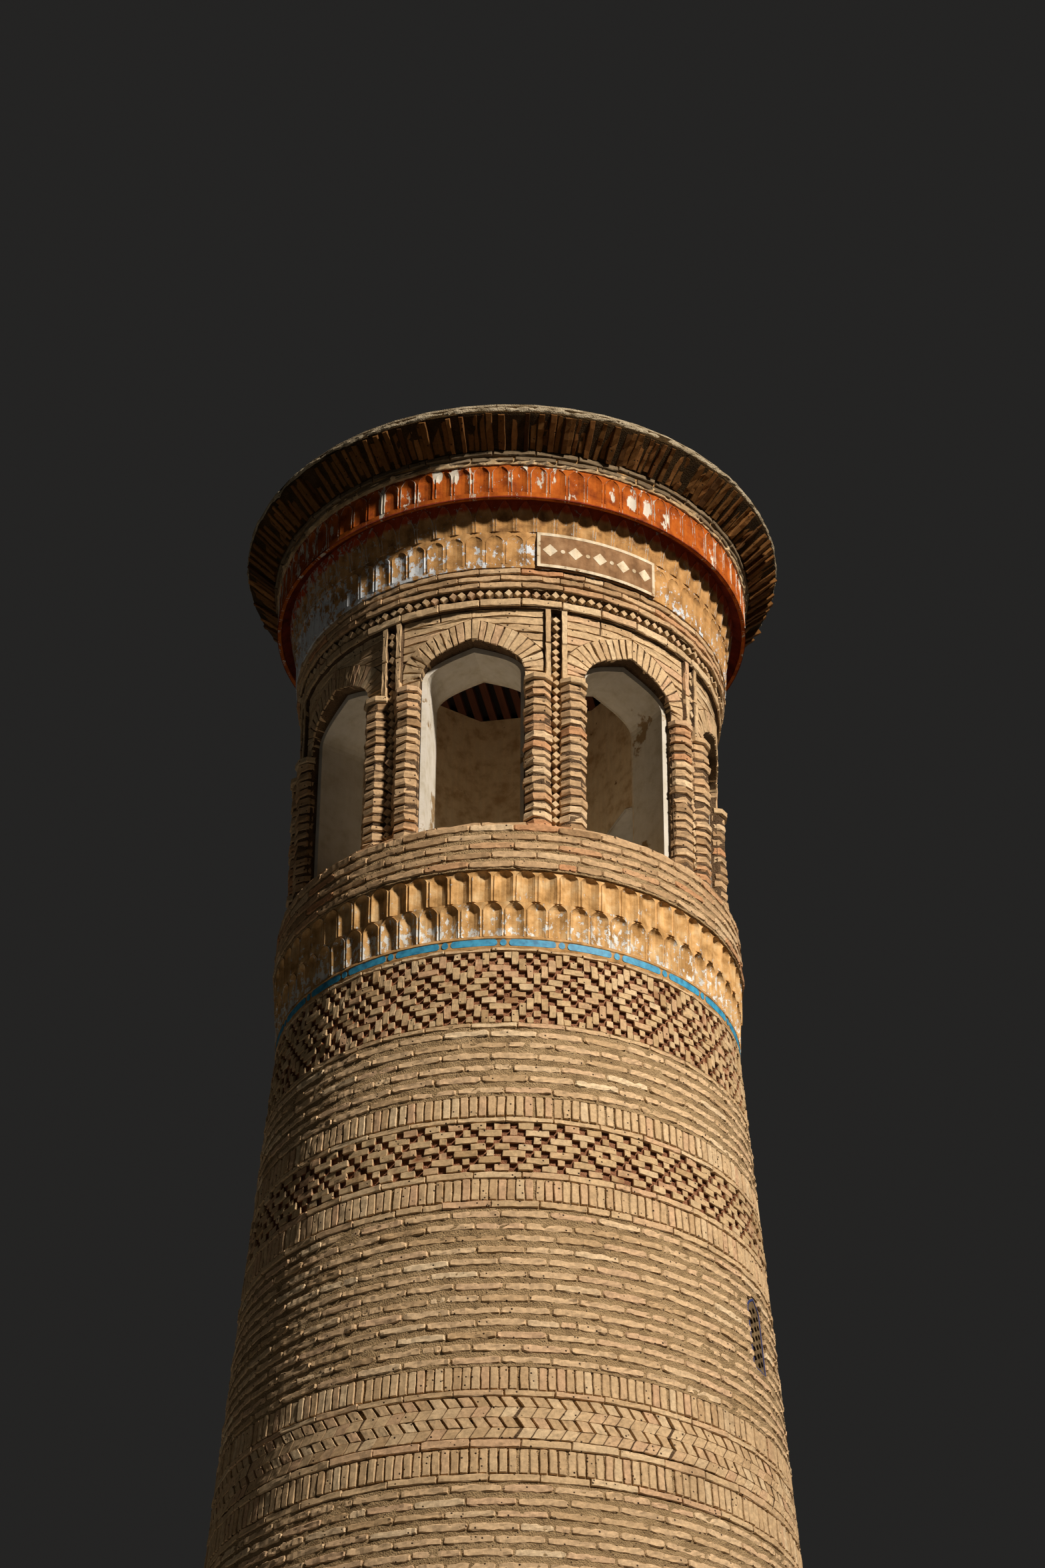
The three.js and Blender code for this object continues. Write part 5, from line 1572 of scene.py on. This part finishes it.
# Red frieze: a smooth fillet, and over it a ring of small pointed hollows with whitish outlines, in lime
# plaster painted orange-red and flaked to white along the hollows' edges. A dark red soffit closes it below.
RED_NICHES = 80
RED_NICHE_PHASE = CAMERA_AZIMUTH - 0.63
FRIEZE_FACE = 1.4615
FILLET = 0.043
FILLET_FACE = 1.4635
# Where the red coat has come off whole, each as azimuth, height, half width and half height
FRIEZE_SPOTS = ((-21.8, 15.46, 0.030, 0.130), (-7.2, 15.53, 0.030, 0.050), (-3.0, 15.52, 0.032, 0.060),
                (35.0, 15.45, 0.020, 0.066), (40.2, 15.45, 0.032, 0.066), (44.3, 15.44, 0.034, 0.074),
                (48.0, 15.46, 0.014, 0.034), (-38.0, 15.45, 0.014, 0.070), (-45.5, 15.42, 0.022, 0.080))
frieze_foot = low("red_frieze")
frieze_head = high("red_frieze")
bare_places = [(at(azimuth, FRIEZE_FACE, height), Vector((half_width, half_width, half_height)))
               for azimuth, height, half_width, half_height in FRIEZE_SPOTS]
red_plaster = plaster("flaking_red_plaster", "#A85212", "#BA641E", "#7A340A", "#CFC6B4", flake_share=0.375,
                      low_edge=frieze_foot - 1.0, high_edge=frieze_foot - 0.9, flake_size=42,
                      weather_side=0.03, crest_wear=0.22, clusters=0.55, flake_stretch=2.6,
                      bare_spots=bare_places)


def frieze_face(height):
    """The fillet stands a little before the hollows."""
    return FILLET_FACE if height < frieze_foot + FILLET else FRIEZE_FACE


red_niche = niche_grid(frieze_foot, frieze_head, frieze_face, depth=0.018, shoulder=frieze_foot + 0.186,
                       apex=frieze_foot + 0.236, sill=FILLET, rib=0.06, hooded=False, back=0.026,
                       foot_depth=0.8)
ring_of("frieze_niches", [red_niche], RED_NICHES, RED_NICHE_PHASE, red_plaster, seed=121,
        swell=0.006, stands_for=("red_frieze",))
dark_red = plaster("dark_red_soffit_plaster", "#6E2611", "#823218", "#4A160A", "#A39B8C", flake_share=0.29,
                   low_edge=14.0, high_edge=14.1, flake_size=33)
soffit = even_cell([(1.462, frieze_foot), (1.382, upper_head), (1.382, upper_head + 0.02),
                    (1.455, frieze_foot + 0.02)])
ring_of("frieze_soffit", [soffit], 160, 0, dark_red, rough=0.004, seed=122)
torn_lime = plaster("torn_lime_over_red_plaster", "#C4A67C", "#D6BC94", "#A08258", "#8D7B62",
                    flake_share=0.42, low_edge=14.0, high_edge=14.1, flake_size=55)
torn_edge = even_cell([(radius, frieze_head + up) for radius, up in (
    (1.440, -0.014), (1.4655, -0.012), (1.4705, 0.004), (1.4735, 0.016), (1.440, 0.018))])
ring_of("frieze_torn_edge", [torn_edge], 330, 0, torn_lime, rough=0.030, bumps=30.0,
        swell=0.02, seed=123)


# Eave: two courses of grey brick, then bricks on edge that fan out and up to a rim of worn lime. The fan's
# bricks stand out by different amounts, shorter ones fill in between them, and all are dark brown: partly soot,
# and partly painted shade for the eave's shaded underside, as is the near-black mortar behind them.
FAN_BRICKS = 131
FAN_BRICK_WIDTH = 0.036
FAN_FILLED_SHARE = 0.75
RIM_RADIUS = reach("eave")
RIM_FOOT = low("eave") + 0.139
FAN_FOOT_RADIUS = 1.480
FAN_HEAD_RADIUS = RIM_RADIUS - 0.006
FAN_HEAD = RIM_FOOT + 0.014
flat_foot = low("flat_brick_ring")
flat_head = high("flat_brick_ring")
grey_brick = fired_brick("grey_brown_brick", "#8D7B62", "#75644C", "#574835", "#7D6248")
flat_face = slope(flat_foot, flat_head, foot_radius=1.474, head_radius=1.486)
flat_shape = brick_shape("flat_ring_brick", BRICK_LENGTH, tall=0.032, deep=BRICK_DEEP, along=6, up=1)
placed = course(flat_foot + 0.018, flat_face(flat_foot), shift=0.1)
placed += course(flat_foot + 0.054, flat_face(flat_head), shift=0.6)
laid("flat_ring_bricks", flat_shape, placed, grey_brick, seed=131, wear=0.010, chips=0.014)
dress(ochre_mortar, "flat_brick_ring")

fan_out = FAN_HEAD_RADIUS - FAN_FOOT_RADIUS
fan_up = FAN_HEAD - flat_head
fan_slope = math.degrees(math.atan2(fan_out, fan_up))
fan_length = math.hypot(fan_out, fan_up)
fan_middle_radius = (FAN_FOOT_RADIUS + FAN_HEAD_RADIUS) / 2
fan_middle_height = (flat_head + FAN_HEAD) / 2
# The fan's brick colours are darkened: soot, and painted shade under the eave.
eave_brick = fired_brick("soot_brown_eave_brick", "#986838", "#6F4A22", "#4B2F13", "#764C24")
fan_shape = brick_shape("fan_brick", FAN_BRICK_WIDTH, fan_length, BRICK_DEEP, along=1, up=5, edge=0.003)
luck = random.Random(132)
placed = []
for i in range(FAN_BRICKS):
    out = luck.choice((0.004, 0.011, 0.019, 0.027))
    radius = fan_middle_radius + out * math.cos(math.radians(fan_slope))
    height = fan_middle_height - out * math.sin(math.radians(fan_slope))
    azimuth = i * 360 / FAN_BRICKS + luck.uniform(-0.3, 0.3)
    roll = luck.uniform(-1.5, 1.5)
    grow = (luck.uniform(0.6, 1.15), 1, luck.uniform(0.9, 1.0))
    placed.append(brick(azimuth, radius, height, roll, fan_slope, grow))
    if luck.random() < FAN_FILLED_SHARE:
        grow = (0.85, 1, luck.uniform(0.6, 0.97))
        placed.append(brick((i + 0.5) * 360 / FAN_BRICKS, fan_middle_radius + 0.004,
                            fan_middle_height - 0.003, tilt=fan_slope, grow=grow))
laid("fan_bricks", fan_shape, placed, eave_brick, seed=133, wear=0.018, chips=0.016,
     unevenness=0.020)
# Near-black mortar behind the fan: soot, and painted shade in the recesses.
eave_mortar_painted_shade = rough_mortar("sooty_clay_mortar", "#3E2D14", "#553F24", "#241A0C")
dress(eave_mortar_painted_shade, "eave")
lime_render = rough_mortar("weathered_lime_render", "#A4957A", "#C3B599", "#7C6B4F")
rim = even_cell([(radius, RIM_FOOT + up) for radius, up in (
    (1.58, 0.014), (1.650, 0.012), (1.664, 0.020), (1.669, 0.030), (1.669, 0.042), (1.662, 0.054),
    (1.640, 0.062), (1.56, 0.068))])
ring_of("eave_rim", [rim], 360, 0, lime_render, rough=0.028, bumps=34.0, swell=0.03, seed=134)
dress(lime_render, "roof")


# Ceiling and floors: sawn poplar joists and boards darkened by age, and trodden screed of brick dust and
# lime. The wood is dry and dull, its grain shows as streaks, and the boards over the joists are black with
# soot.
JOIST_DEPTH = 0.055
SOOT_START = 0.7
timber, tree, shader, place = blank_material("aged_poplar_joists", 0.8)
along_grain = node(tree, "ShaderNodeMapping", {"Vector": place, "Scale": (14.0, 1.2, 14.0)})
wood, grain = two_tones(tree, along_grain, size=333, detail=6.0, dark="#381A0F", light="#6C3A22")
height = node(tree, "ShaderNodeSeparateXYZ", {0: place}).outputs["Z"]
joist_foot = low("ceiling")
soot = node(tree, "ShaderNodeMapRange", {"Value": height, "From Min": joist_foot + JOIST_DEPTH * SOOT_START,
                                         "From Max": joist_foot + JOIST_DEPTH})
blackened = node(tree, "ShaderNodeMix", {0: soot, 6: wood, 7: linear("#160C07")}, data_type="RGBA")
surface(tree, shader, blackened.outputs[2], grain, strength=0.5, depth=0.003)
dress(timber, "ceiling")
screed = rough_mortar("trodden_lime_screed", "#D6CBB4", "#E2D8C4", "#B9AC92")
dress(screed, "ground_floor", "lantern_floor")
